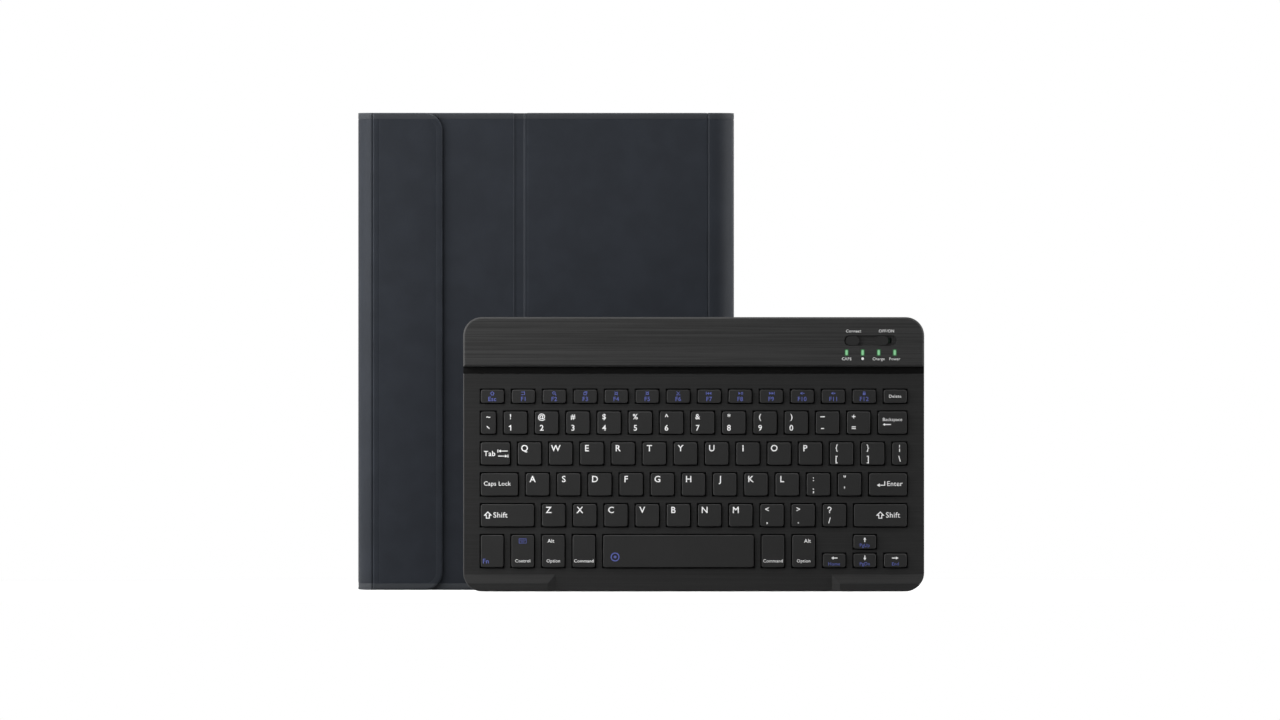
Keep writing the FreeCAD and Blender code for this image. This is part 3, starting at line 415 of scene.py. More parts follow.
def new_piece(name, points, faces, finish, rim=None, closed=True):
    """A mesh object at the origin; a closed one is shaded smooth and has its faces turned outwards."""
    mesh = bpy.data.meshes.new(name)
    mesh.from_pydata(np.asarray(points).tolist(), [], [list(face) for face in faces])
    mesh.validate()
    if closed:
        shell = bmesh.new()
        shell.from_mesh(mesh)
        bmesh.ops.recalc_face_normals(shell, faces=shell.faces)
        shell.to_mesh(mesh)
        shell.free()
    if rim is not None:
        mesh.attributes.new("rim", "FLOAT", "POINT").data.foreach_set("value", np.asarray(rim, np.float32))
    mesh.polygons.foreach_set("use_smooth", np.full(len(mesh.polygons), closed))
    mesh.materials.append(finish.material)
    piece = bpy.data.objects.new(name, mesh)
    scene.collection.objects.link(piece)
    return piece


def stacked_rings(profile, box, radii, steps, face, inward):
    """Points, faces and rim values of a closed slab: profile rows are (inset, depth, rim)."""
    profile = np.asarray(profile)
    rings = [outline_ring(box, inset, radii, steps) for inset in profile[:, 0]]
    count = len(rings[0])
    flat = np.concatenate(rings)
    depth = np.repeat(face + inward * profile[:, 1], count)
    points = np.column_stack([flat[:, 0], depth, flat[:, 1]])
    return points, tube(len(rings), count, inward < 0), np.repeat(profile[:, 2], count)


def node_box(node):
    """A node's outline as (left, right, bottom, top), and its front and rear depth."""
    low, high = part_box(node)
    return (low.x, high.x, low.z, high.z), low.y, high.y


# %% [markdown]
# ## Leather panels
#
# The front cover has two panels, one on each side of the crease, and the back cover is one panel. Their
# face is a grid: near a side a point drops along a quarter circle, near a corner along part of a sphere,
# and two pressed lines sink along the hems. The flap is a thinner stack of rings with two large round
# corners and a pressed line all round. Each panel has a shallow bed on its inner face for the lining.

# %% Panels with hems
EDGE_ROUND = 0.9 * MM
INNER_ROUND = 0.45 * MM
BORDER = 0.83 * MM
LINING_BED = 0.45 * MM
FLAP_CORNER = 9.5 * MM
SQUARE = 0.5 * MM
GROOVE = 0.13 * MM
GROOVE_ROWS = np.array([-1.0, -0.6, -0.3, 0.0, 0.3, 0.6, 1.0]) * PRESS
PRESSED_LINE = [(HEM + row, 0.5 * GROOVE * math.cos(math.pi / 2 * row / PRESS) ** 2, 0)
                for row in GROOVE_ROWS[::-1]]
SIDE = quarter(7)
SIDE_RIM = np.sqrt(np.sin(SIDE * 2))


def inner_edge(thickness):
    """Inner half of a turned edge as rows of (inset, depth, rim): a quarter round, a border and the bed."""
    depth = thickness - INNER_ROUND * (1 - np.sin(SIDE))
    inner = np.column_stack([INNER_ROUND * (1 - np.cos(SIDE)), depth, SIDE_RIM])
    return np.concatenate([inner, [(BORDER, thickness, 0), (BORDER + STEP, thickness - LINING_BED, 0)]])


def turned_edge(thickness):
    """Whole profile of a turned edge: pressed line, flat face, rounded edge and the inner half."""
    outer = rounded(EDGE_ROUND, SIDE, SIDE_RIM)
    return np.concatenate([PRESSED_LINE, [(EDGE_ROUND + FACE_MARGIN, 0, 0)], outer, inner_edge(thickness)])


def rounding(along, low, high):
    """How far a coordinate lies past the start of either edge's rounding, negative at the low side."""
    return np.clip(along - (high - EDGE_ROUND), 0, None) - np.clip(low + EDGE_ROUND - along, 0, None)


def hemmed_panel(box, face, inward, thickness):
    """A panel as a grid and rings: drop is the height of a rounded edge, with a dip along each hem."""
    low_x, high_x, low_z, high_z = box
    side = np.append(EDGE_ROUND * (1 - np.cos(SIDE)), EDGE_ROUND + FACE_MARGIN)
    rows = np.concatenate([side, HEM + GROOVE_ROWS])
    across = np.concatenate([low_x + side, high_x - side[::-1]])
    up = np.concatenate([low_z + rows, high_z - rows[::-1]])
    past_x, past_z = np.meshgrid(rounding(across, low_x, high_x), rounding(up, low_z, high_z), indexing="ij")
    bend_x = past_x * np.sqrt(1 - past_z ** 2 / (2 * EDGE_ROUND ** 2))
    bend_z = past_z * np.sqrt(1 - past_x ** 2 / (2 * EDGE_ROUND ** 2))
    bend = np.hypot(bend_x, bend_z)
    from_hem = np.clip((np.minimum(up - low_z, high_z - up) - HEM) / PRESS, -1, 1)
    drop = EDGE_ROUND - np.sqrt(np.clip(EDGE_ROUND ** 2 - bend ** 2, 0, None))
    drop = drop + GROOVE * np.cos(math.pi / 2 * from_hem) ** 2
    grid = np.stack([across[:, None] - past_x + bend_x, face + inward * drop, up - past_z + bend_z], axis=-1)
    index = np.arange(bend.size).reshape(bend.shape)
    border = np.concatenate([index[:-1, 0], index[-1, :-1], index[:0:-1, -1], index[0, :0:-1]])
    inset, depth, ring_rim = inner_edge(thickness).T
    flat = grid.reshape(-1, 3)
    way = np.column_stack([bend_x.ravel(), bend_x.ravel() * 0, bend_z.ravel()])[border] / EDGE_ROUND
    rings = flat[border][None] - way[None] * inset[:, None, None]
    rings[:, :, 1] = face + inward * depth[:, None]
    count = len(border)
    ring_index = np.concatenate([border[None], bend.size + np.arange(len(inset) * count).reshape(-1, count)])
    walls = ring_quads(ring_index)[:, [0, 3, 2, 1]]
    cells = np.stack([index[:-1, :-1], index[1:, :-1], index[1:, 1:], index[:-1, 1:]], axis=-1).reshape(-1, 4)
    # rim marks the rounded edge, where the leather's painted highlight falls
    rim = np.sqrt(np.clip(np.sin(2 * np.arcsin(np.clip(bend / EDGE_ROUND, 0, 1))), 0, 1)).ravel()
    return (np.concatenate([flat, rings.reshape(-1, 3)]), list(cells) + list(walls) + [ring_index[-1]],
            np.concatenate([rim, np.repeat(ring_rim, count)]))


# %% Leather panels
FLAP_CORNERS = np.array([FLAP_CORNER, SQUARE, SQUARE, FLAP_CORNER])


def stand_for(piece, node, body=None):
    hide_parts(node)
    if body:
        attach(piece, body)
    return piece


def leather_panel(name, front=True, radii=None, body=None):
    """A panel's leather: hemmed, or a stack of rings where it has round corners."""
    node = name + "_skin"
    box, near, rear = node_box(node)
    face, inward = (near, 1) if front else (rear, -1)
    if radii is None:
        shape = hemmed_panel(box, face, inward, rear - near)
    else:
        shape = stacked_rings(turned_edge(rear - near), box, radii, 8, face, inward)
    points, faces, rim = shape
    return stand_for(new_piece(name + "_leather", points, faces, leather, rim), node, body)


front_leather = leather_panel("front", body="front_panel")
leather_panel("fold", body="fold_panel")
back_leather = leather_panel("back", front=False)
flap_leather = leather_panel("flap", radii=FLAP_CORNERS, body="flap")
print("panels", len(front_leather.data.polygons), len(flap_leather.data.polygons))

# %% [markdown]
# ## Lining
#
# The inner faces are lined with a thin brushed fabric, which lies in the bed that the leather leaves.
# Each lining is a thin slab with a soft edge, in the place of its node.

# %% Flat linings
LINING_ROUND = 0.22 * MM
LINING_MARGIN = 0.6 * MM
LEATHER = 0.8 * MM


def lining_panel(name, front=False, radii=(SQUARE,) * 4, body=None):
    """A thin slab in the place of a lining node; front tells whether its face looks to the viewer."""
    node = name + "_lining"
    box, near, rear = node_box(node)
    edge = rounded(LINING_ROUND, quarter(5), np.zeros(5))
    profile = np.concatenate([[(LINING_ROUND + LINING_MARGIN, 0, 0)], edge, [(STEP, rear - near, 0)]])
    face, inward = (near, 1) if front else (rear, -1)
    points, faces, rim = stacked_rings(profile, box, radii, 6, face, inward)
    return stand_for(new_piece(node + "_cloth", points, faces, lining, rim), node, body)


lining_panel("front", body="front_panel")
lining_panel("fold", body="fold_panel")
lining_panel("flap", radii=np.maximum(FLAP_CORNERS - LEATHER, SQUARE), body="flap")
back_lining = lining_panel("back", front=True)
print("linings made")

# %% [markdown]
# ## Camera opening
#
# A round opening goes through the back cover for the tablet's camera. A drill made of two rings is
# taken away from the leather and the lining, and the result is kept as the mesh, so no modifier and no
# drill is left over.

# %% Camera opening
tray_low, tray_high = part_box("tablet_tray")
CAMERA_INSET = 17.0 * MM
CAMERA_RADIUS = 6.5 * MM
DRILL_FRONT = 50 * MM
DRILL_REAR = 65 * MM
DRILL_SIDES = 64
SHARP = math.radians(50)


def finished_mesh(piece):
    """A copy of a piece's mesh with its modifiers applied, or of a text as a mesh."""
    bpy.context.view_layer.update()
    return bpy.data.meshes.new_from_object(piece.evaluated_get(bpy.context.evaluated_depsgraph_get()))


def drill(piece, across, up):
    """Take a round bar that runs along Y out of a piece."""
    angle = np.linspace(0, math.tau, DRILL_SIDES, endpoint=False)
    ring = CAMERA_RADIUS * np.column_stack([np.cos(angle), angle * 0, np.sin(angle)])
    points = np.concatenate([ring + (across, DRILL_FRONT, up), ring + (across, DRILL_REAR, up)])
    bar = new_piece("drill", points, tube(2, DRILL_SIDES, True), leather)
    cutter = piece.modifiers.new("opening", "BOOLEAN")
    cutter.operation = "DIFFERENCE"
    cutter.solver = "EXACT"
    cutter.object = bar
    result = finished_mesh(piece)
    piece.modifiers.remove(cutter)
    result.set_sharp_from_angle(angle=SHARP)
    piece.data = result
    bpy.data.objects.remove(bar)


for pierced in (back_leather, back_lining):
    drill(pierced, tray_low.x + CAMERA_INSET, tray_high.z - CAMERA_INSET)
    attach(pierced, "back_panel")
print("back cover", len(back_leather.data.polygons))

# %% [markdown]
# ## Bands round the edges
#
# The spine and the band that carries the flap are leather bent round a vertical axis. A band is a path
# seen from above, with the closed outline of the leather's thickness and height carried along it. The
# narrow creases are bands too, laid between the two bodies that meet there.

# %% Bands
HELD_FLAT = 1.2 * MM
BAND_ROUND = 0.25 * MM
BAND_RIM = 0.8 * MM


def band_outline(thickness, low, high, edge, groove):
    """Closed loop of (depth, height): a tall rectangle with round corners and a dip at each hem."""
    sine, cosine = edge * np.sin(quarter(5)), edge * np.cos(quarter(5))
    corner_in = np.column_stack([thickness - edge + sine, low + edge - cosine])
    corner_top_in = np.column_stack([thickness - edge + cosine, high - edge + sine])
    corner_top_out = np.column_stack([edge - sine, high - edge + cosine])
    corner_out = np.column_stack([edge - cosine, low + edge - sine])
    dip = groove * np.cos(math.pi / 2 * GROOVE_ROWS / PRESS) ** 2
    upper_hem = np.column_stack([dip, case_high - HEM - GROOVE_ROWS])
    lower_hem = np.column_stack([dip, case_low + HEM - GROOVE_ROWS])
    low_flat, high_flat = low + HELD_FLAT, high - HELD_FLAT
    return np.concatenate([corner_in, [(thickness, low_flat), (thickness, high_flat)], corner_top_in,
                           corner_top_out, [(0, high_flat)], upper_hem, lower_hem,
                           [(0, low_flat)], corner_out])


def band(name, path, outward, thickness, low, high, finish):
    """A strip of even thickness: point (i, j) is path[i] - outward[i] * depth[j] at height[j]."""
    edge = min(BAND_ROUND, thickness * 0.42)
    loop = band_outline(thickness, low, high, edge, GROOVE if finish is leather else 0)
    path, outward = np.asarray(path), np.asarray(outward)
    across = path[:, None, :] - outward[:, None, :] * loop[None, :, :1]
    height = np.broadcast_to(loop[None, :, 1:], (len(path), len(loop), 1))
    points = np.concatenate([across, height], axis=-1).reshape(-1, 3)
    faces = tube(len(path), len(loop), True)
    # rim marks the band's upper and lower edges, where the leather's painted highlight falls
    from_end = np.minimum(loop[:, 1] - low, high - loop[:, 1])
    rim = np.clip(1 - from_end / BAND_RIM, 0, 1)
    return new_piece(name, points, faces, finish, np.tile(rim, len(path)))


def level(run, depth):
    """Points on the plan along X, at one depth or at a depth for each."""
    return np.column_stack([run, run * 0 + depth])


def normals_of(path):
    """Unit normals to the right of a path's direction of travel."""
    run = np.gradient(np.asarray(path), axis=0)
    run = run / np.linalg.norm(run, axis=1)[:, None]
    return np.column_stack([run[:, 1], -run[:, 0]])


# %% [markdown]
# ## Spine and edge band
#
# The spine is half a circle with a short flat stretch at each end, and its leather lies over a lining.
# The band at the left is a flatter arc, found from its bulge and its chord.

# %% Spine and edge band
CLOTH = 0.5 * MM
spine_low, spine_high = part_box("spine_skin")
spine_radius = (spine_high.y - spine_low.y) / 2
spine_flat = spine_high.x - spine_low.x - spine_radius
sweep = np.linspace(-math.pi / 2, math.pi / 2, 41)
spine_arc = (spine_low.x + spine_flat, spine_low.y + spine_radius) + spine_radius * unit(sweep)
flat_x = spine_low.x + np.array([0, spine_flat / 2])
spine_path = np.concatenate([level(flat_x, spine_low.y), spine_arc, level(flat_x[::-1], spine_high.y)])
spine_out = np.concatenate([[(0, -1)] * 2, unit(sweep), [(0, 1)] * 2])

edge_low, edge_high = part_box("edge_skin")
bulge = edge_high.x - edge_low.x
chord = edge_high.y - edge_low.y
edge_radius = (bulge ** 2 + chord ** 2 / 4) / (2 * bulge)
edge_half = math.asin(chord / 2 / edge_radius)
edge_middle = np.array([edge_low.x + edge_radius, (edge_low.y + edge_high.y) / 2])
sweep = np.linspace(edge_half, -edge_half, 33)
edge_out = unit(sweep) * (-1, 1)
edge_path = edge_middle + edge_radius * edge_out

for name, body, path, outward in (("spine", "spine", spine_path, spine_out),
                                  ("edge", "edge_band", edge_path, edge_out)):
    skin = band(name + "_leather", path, outward, LEATHER, case_low, case_high, leather)
    stand_for(skin, name + "_skin", body)
    path = path - outward * LEATHER
    cloth = band(name + "_lining_cloth", path, outward, CLOTH, case_low, case_high, lining)
    stand_for(cloth, name + "_lining", body)
print("spine radius", round(spine_radius, 5), "edge radius", round(edge_radius, 5))

# %% [markdown]
# ## Creases
#
# Where two stiff panels meet, only leather is left and it bends. The front cover's crease is a wide band
# with a shallow channel between two low ridges, which read as two lines. Past the ridges it sinks under
# the panels. The other creases are narrow. Each one runs along the panels on either side and turns
# smoothly between them; it stays where it is made and rides on neither body.

# %% Creases
CREASE_LEATHER = 0.6 * MM
CREASE_END = 0.15 * MM
CHANNEL = 0.4 * MM
LEFT_RIDGE = 0.14 * MM
RIGHT_RIDGE = 0.05 * MM
FLANK = 1.4 * MM
LEFT_SET = 0.3 * MM
RIGHT_SET = 0.45 * MM
RIGHT_LAP = 0.2 * MM
EASE = 1.5 * MM
OVERLAP = 1.2 * MM
NARROW = 1.3 * MM
DIP = 0.3 * MM
front_low, front_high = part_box("front_skin")
back_low, back_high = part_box("back_skin")
flap_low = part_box("flap_skin")[0]


def crease(name, path, node=None):
    """A leather band laid between two bodies, from one point on the plan to another; it rides on neither."""
    low, high = case_low + CREASE_END, case_high - CREASE_END
    piece = band(name, path, normals_of(path), CREASE_LEATHER, low, high, leather)
    if node:
        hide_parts(node)
    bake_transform(piece)


def smooth_step(value):
    """0 below 0, 1 above 1, and 3 v^2 - 2 v^3 between."""
    value = np.clip(value, 0, 1)
    return value * value * (3 - 2 * value)


def round_edge(turn):
    """Points just under the edge band's arc."""
    return edge_middle + (edge_radius - DIP) * unit(turn) * (-1, 1)


left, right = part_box("fold_skin")[1].x, front_low.x
left_top, right_top = left - LEFT_SET, right - RIGHT_SET
run = np.linspace(left - OVERLAP, right + OVERLAP, 65)
left_flank = 1 - smooth_step((run - left_top) / FLANK)
right_flank = smooth_step((run - right_top) / FLANK + 1)
outside = np.clip(left_top - run, 0, None) + np.clip(run - right - RIGHT_LAP, 0, None)
dip = CHANNEL - (CHANNEL + LEFT_RIDGE) * left_flank - (CHANNEL + RIGHT_RIDGE) * right_flank
dip = dip + outside ** 2 / EASE
crease("fold_crease", level(run, front_low.y + dip),
       "crease_strip")

run = np.linspace(front_high.x - NARROW, spine_low.x + NARROW, 17)
crease("spine_crease_front", level(run, front_low.y + DIP))
crease("spine_crease_back", level(run[::-1], back_high.y - DIP))

turn = np.linspace(0, NARROW / edge_radius, 9)
run = np.linspace(0.1 * MM, NARROW, 8)
path = np.concatenate([round_edge(turn - edge_half)[::-1], level(flap_low.x + run, flap_low.y + DIP)])
crease("edge_crease_flap", path)
path = np.concatenate([level(back_low.x + run, back_high.y - DIP)[::-1], round_edge(edge_half - turn)])
crease("edge_crease_back", path)
print("creases made")

# %% [markdown]
# ## How the leather was cut
#
# Leather and lining are sheets that were cut flat and glued down. A leather panel is cut larger than its
# face, by a strip on each side that turns in round the board. A band is cut to its length round the arc.

# %% [markdown]
# ## Moulded finishes
#
# The keyboard is satin black plastic. Its deck and rear bar have a printed brushed look: long fine
# streaks that run from left to right, so noise is stretched along X. Key caps are a plain satin plastic
# with a very fine spark-eroded texture, and the tray and bottom cover a coarser one. A painted highlight
# makes the keyboard's outline and the caps' top edges a little paler, and the groove below the bar
# carries a painted shade: it is nearly black.

# %% Moulded finishes
KEYBOARD_CORNER = 10.0 * MM
RIM_WIDTH = 0.45 * MM
# tone of the painted highlight along the keyboard's outline
RIM_HIGHLIGHT_TONE = 0.05


def outline_highlight(finish):
    """Mask of the painted highlight along the keyboard's outline: 1 at the outline and 0 further in, from how
    far a point reaches past the inner rectangle.
    """
    low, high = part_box("bottom_cover")
    middle = (low + high) / 2
    half = (high - low) / 2
    away = finish.vector("ABSOLUTE", finish.vector("SUBTRACT", finish.where(), middle))
    past = finish.vector("SUBTRACT", away, (half.x - KEYBOARD_CORNER, 1.0, half.z - KEYBOARD_CORNER))
    reach = finish.vector("LENGTH", finish.vector("MAXIMUM", past, (0.0, 0.0, 0.0)), output="Value")
    return finish.ramp(reach, KEYBOARD_CORNER - RIM_WIDTH, KEYBOARD_CORNER - RIM_WIDTH * 0.4)


def brushed(name, dark, light, shine):
    """Satin plastic with long streaks along X, and a painted highlight along the keyboard's outline."""
    finish = Finish(name, specular_level=0.06)
    streaks = finish.noise((22, 900, 5200), 3.0, 0.6)
    long_streaks = finish.noise((6, 300, 1500), roughness=0.55)
    mottle = finish.noise(60)
    mixture = finish.ramp(streaks * 0.6 + long_streaks * 0.4, 0.3, 0.7)
    tone = finish.blend(mixture, grey(dark), grey(light))
    # painted highlight: the keyboard's outline is made paler, broken up by the mottle
    highlight_mask = outline_highlight(finish) * (0.5 + mottle * 0.5)
    finish.set(base_color=finish.blend(highlight_mask, tone, grey(RIM_HIGHLIGHT_TONE)),
               roughness=shine + mixture * 0.12 + mottle * 0.05)
    finish.bump(mixture, 0.006 * MM)
    return finish


def satin(name, colour, shine, cell, depth, level=0.3, highlight_level=0.0):
    """Plain moulded plastic or rubber with a fine eroded texture, and a painted highlight where its rim
    attribute is set.
    """
    finish = Finish(name, specular_level=level)
    texture = finish.noise(cell, 3.0, 0.6)
    mottle = finish.noise(45)
    tone = finish.blend(texture * 0.5 + mottle * 0.5, colour, scaled(colour, 1.35))
    if highlight_level:
        # painted highlight: where the mesh's rim attribute is set, the tone turns paler in a mottle
        rim_highlight = finish.attribute("rim") * finish.ramp(mottle + texture, 0.5, 1.3)
        tone = finish.blend(rim_highlight, tone, grey(highlight_level))
    finish.set(base_color=tone, roughness=shine + texture * 0.14)
    finish.bump(texture, depth)
    return finish


def metal(name, colour, shine):
    """Plated or rolled metal with faint rolling marks along X."""
    finish = Finish(name, metallic=1.0)
    marks = finish.noise((60, 2200, 2200))
    finish.set(base_color=finish.blend(marks, colour, scaled(colour, 0.8)), roughness=shine + marks * 0.15)
    finish.bump(marks, 0.004 * MM)
    return finish


BRUSHED = [("brushed_bar", 0.021, 0.044, 0.4), ("brushed_deck", 0.017, 0.0245, 0.42)]
# the last value of key_satin is the tone of the painted highlight on the caps' top edges
SATINS = [("key_satin", grey(0.0202), 0.44, 3600, 0.006 * MM, 0.055, 0.075),
          ("cover_satin", grey(0.022), 0.55, 1500, 0.02 * MM, 0.25),
          ("tray_satin", grey(0.02), 0.5, 1900, 0.012 * MM, 0.3),
          ("control_satin", grey(0.018), 0.4, 3600, 0.005 * MM, 0.08),
          # nearly black: the shade inside the groove below the bar is painted into its colour
          ("groove_black", grey(0.007), 0.7, 2400, 0.01 * MM, 0.03),
          ("foot_rubber", grey(0.026), 0.8, 1200, 0.03 * MM, 0.15),
          ("grey_board", grey(0.32, (1.0, 0.93, 0.8)), 0.9, 700, 0.05 * MM, 0.1),
          ("dome_rubber", grey(0.013), 0.7, 900, 0.01 * MM, 0.05),
          ("printed_film", grey(0.7, (0.97, 1.0, 0.96)), 0.3, 500, 0.005 * MM, 0.4),
          ("solder_resist", (0.004, 0.022, 0.011, 1.0), 0.4, 800, 0.01 * MM, 0.2)]
METALS = [("rolled_steel", grey(0.4), 0.35), ("nickel_plate", grey(0.55, (1.0, 0.98, 0.94)), 0.25),
          ("cell_foil", grey(0.5), 0.4)]
finishes = {}
for make, rows in ((brushed, BRUSHED), (satin, SATINS), (metal, METALS)):
    for row in rows:
        finishes[row[0]] = make(*row)
print("finishes", len(finishes))

# %% [markdown]
# ## Moulded pieces
#
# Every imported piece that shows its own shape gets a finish. The ones in sight also get their sharp edges
# rounded, by the width in millimetres given here.

# %% Moulded pieces
WELD_DISTANCE = 0.002 * MM
BEVEL_ANGLE = math.radians(34)


def dress(node, finish, softening=0.0):
    """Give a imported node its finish, and round its sharp edges a little."""
    piece = nodes[node]
    piece.data.materials.clear()
    piece.data.materials.append(finish.material)
    if softening:
        weld = piece.modifiers.new("joined_faces", "WELD")
        weld.merge_threshold = WELD_DISTANCE
        bevel = piece.modifiers.new("soft_edges", "BEVEL")
        bevel.width = softening
        bevel.segments = 2
        bevel.limit_method = "ANGLE"
        bevel.angle_limit = BEVEL_ANGLE
        bevel.harden_normals = True


DRESSES = [("brushed_deck", 0.25, ["key_deck", "front_lips"]), ("brushed_bar", 0.16, ["rear_housing"]),
           ("groove_black", 0, ["groove_strip"]), ("cover_satin", 0.3, ["bottom_cover"]),
           ("tray_satin", 0.2, ["tablet_tray"]), ("control_satin", 0.15, ["power_knob", "pair_button"]),
           ("foot_rubber", 0.15, ["rubber_feet"]), ("nickel_plate", 0.08, ["charge_socket"]),
           ("grey_board", 0, ["front_board", "fold_board", "back_board", "flap_board"]),
           ("rolled_steel", 0, ["closure_plates", "support_plate", "cover_screws"]),
           ("nickel_plate", 0, ["cover_magnets", "flap_magnets", "keyboard_magnets"]),
           ("dome_rubber", 0, ["dome_sheet"]), ("printed_film", 0, ["key_membrane"]),
           ("solder_resist", 0, ["circuit_board"]), ("cell_foil", 0, ["battery_cell"])]
for name, softening, dressed in DRESSES:
    for node in dressed:
        dress(node, finishes[name], softening * MM)
print("dressed nodes", sum(len(row[2]) for row in DRESSES))

# %% [markdown]
# ## Indicator lights
#
# Four small green lamps shine through slots in the bar. A lens glows pale in its middle and dark green
# at its sides, so the emission's colour falls off with the distance from the middle of the nearest lens.

# %% Indicator lights
lens_low, lens_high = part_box("indicator_lenses")
LENS_PITCH = 8.6 * MM
lens_width = lens_high.x - lens_low.x - 3 * LENS_PITCH
lens = Finish("green_lens", base_color=(0.01, 0.05, 0.016, 1.0), specular_level=0.4, emission_strength=1.0)
steps = (lens.coordinate(0) - (lens_low.x + lens_width / 2)) * (1 / LENS_PITCH)
nearest = lens.add("ShaderNodeMath", {"operation": "ROUND"}, {0: steps})
sideways = (steps - nearest) * (2 * LENS_PITCH / lens_width)
upward = (lens.coordinate(2) - (lens_low.z + lens_high.z) / 2) * (2 / (lens_high.z - lens_low.z))
flat_top = 1.0 - upward * upward * upward * upward
glow = lens.ramp((1.0 - sideways * sideways) * flat_top, 0.3, 0.95)
sparkle = lens.noise(2500, 1.0)
lens.set(emission_color=lens.blend(glow, (0.001, 0.026, 0.005, 1.0), (0.2, 0.48, 0.25, 1.0)),
         roughness=0.25 + sparkle * 0.15)
dress("indicator_lenses", lens)
print("lens width", round(lens_width, 5))

# %% [markdown]
# ## Key caps
#
# A cap is a low block with rounded corners, a soft top edge and a flat top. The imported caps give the
# rectangle of every key: on the lower edge of a row's top faces, two corner points belong to each key.
# All caps of one body make one piece.

# %% Key caps
KEY_NODES = sorted(name for name in nodes if name.startswith(("key_", "keys_")) and name in frame["bodies"])
CORNER_CUT = 0.7 * MM
CAP_CORNER = 1.25 * MM
CAP_EDGE = 0.3 * MM
CAP_MARGIN = 0.5 * MM
CAP_GAP = 0.12 * MM
CAP_DEPTH = 2.4 * MM
CLOSE = 1e-6


def points_of(mesh):
    """A mesh's points as rows of (x, y, z)."""
    points = np.empty(len(mesh.vertices) * 3)
    mesh.vertices.foreach_get("co", points)
    return points.reshape(-1, 3)


def key_rectangles(node):
    """Rows of (left, right, bottom, top) for each key of a node, from left to right, and the top's depth."""
    points = points_of(nodes[node].data)
    face = points[:, 1].min()
    top = points[np.abs(points[:, 1] - face) < CLOSE]
    low, high = top[:, 2].min(), top[:, 2].max()
    ends = np.unique(np.round(top[np.abs(top[:, 2] - low) < CLOSE, 0], 6)).reshape(-1, 2)
    rows = np.column_stack([ends[:, 0] - CORNER_CUT, ends[:, 1] + CORNER_CUT, ends[:, 0] * 0 + low,
                            ends[:, 0] * 0 + high])
    return rows, face


turn = quarter(4)
# the rim values along the soft top edge mark where key_satin paints a highlight
CAP_PROFILE = np.concatenate([[(CAP_EDGE + CAP_MARGIN, 0, 0)], rounded(CAP_EDGE, turn, np.sin(turn * 2)),
                              [(0, CAP_DEPTH, 0)]]) + (CAP_GAP, 0, 0)
key_boxes = {}
for node in KEY_NODES:
    rows, face = key_rectangles(node)
    key_boxes[node] = (rows, face)
    blocks = [stacked_rings(CAP_PROFILE, row, (CAP_CORNER,) * 4, 4, face, 1) for row in rows]
    points, loops, rims = zip(*blocks)
    faces = [loop + index * len(points[0]) for index, cap in enumerate(loops) for loop in cap]
    caps = new_piece(node.replace("key", "cap", 1), np.concatenate(points), faces, finishes["key_satin"],
                     np.concatenate(rims))
    stand_for(caps, node, node)
print("key caps", sum(len(rows) for rows, face in key_boxes.values()))

# %% [markdown]
# ## Printed signs
#
# Letters, digits and words are printed on the caps in white, and second functions in blue. Text becomes
# a flat mesh once, is scaled to its cap height and laid just above the cap's top. Arrows and small marks
# are strokes: a thin strip with mitred bends, so that no two faces lie on each other.

# %% Signs as flat meshes
PRINT_RISE = 0.03 * MM


def ink(name, dark, light):
    """Printing ink with a faint speckle."""
    finish = Finish(name, specular_level=0.2)
    speck = finish.noise(4000)
    finish.set(base_color=finish.blend(speck, dark, light), roughness=0.5 + speck * 0.15)
    return finish


INKS = {"white": ink("white_print", grey(0.84), grey(0.94)),
        "blue": ink("blue_print", (0.08, 0.097, 0.32, 1.0), (0.11, 0.135, 0.41, 1.0))}


def text_mesh(words, weight):
    """Flat points and faces of a line of text at size 1, with its left end and base line at zero."""
    data = bpy.data.curves.new("words", "FONT")
    data.body = words
    data.offset = weight
    data.space_character = 1.06
    data.resolution_u = 3
    letters = bpy.data.objects.new("words", data)
    scene.collection.objects.link(letters)
    mesh = finished_mesh(letters)
    points = points_of(mesh)[:, :2]
    faces = [np.array(polygon.vertices) for polygon in mesh.polygons]
    bpy.data.objects.remove(letters)
    bpy.data.curves.remove(data)
    bpy.data.meshes.remove(mesh)
    return points, faces


CAPITAL = np.ptp(text_mesh("H", 0.0)[0][:, 1])


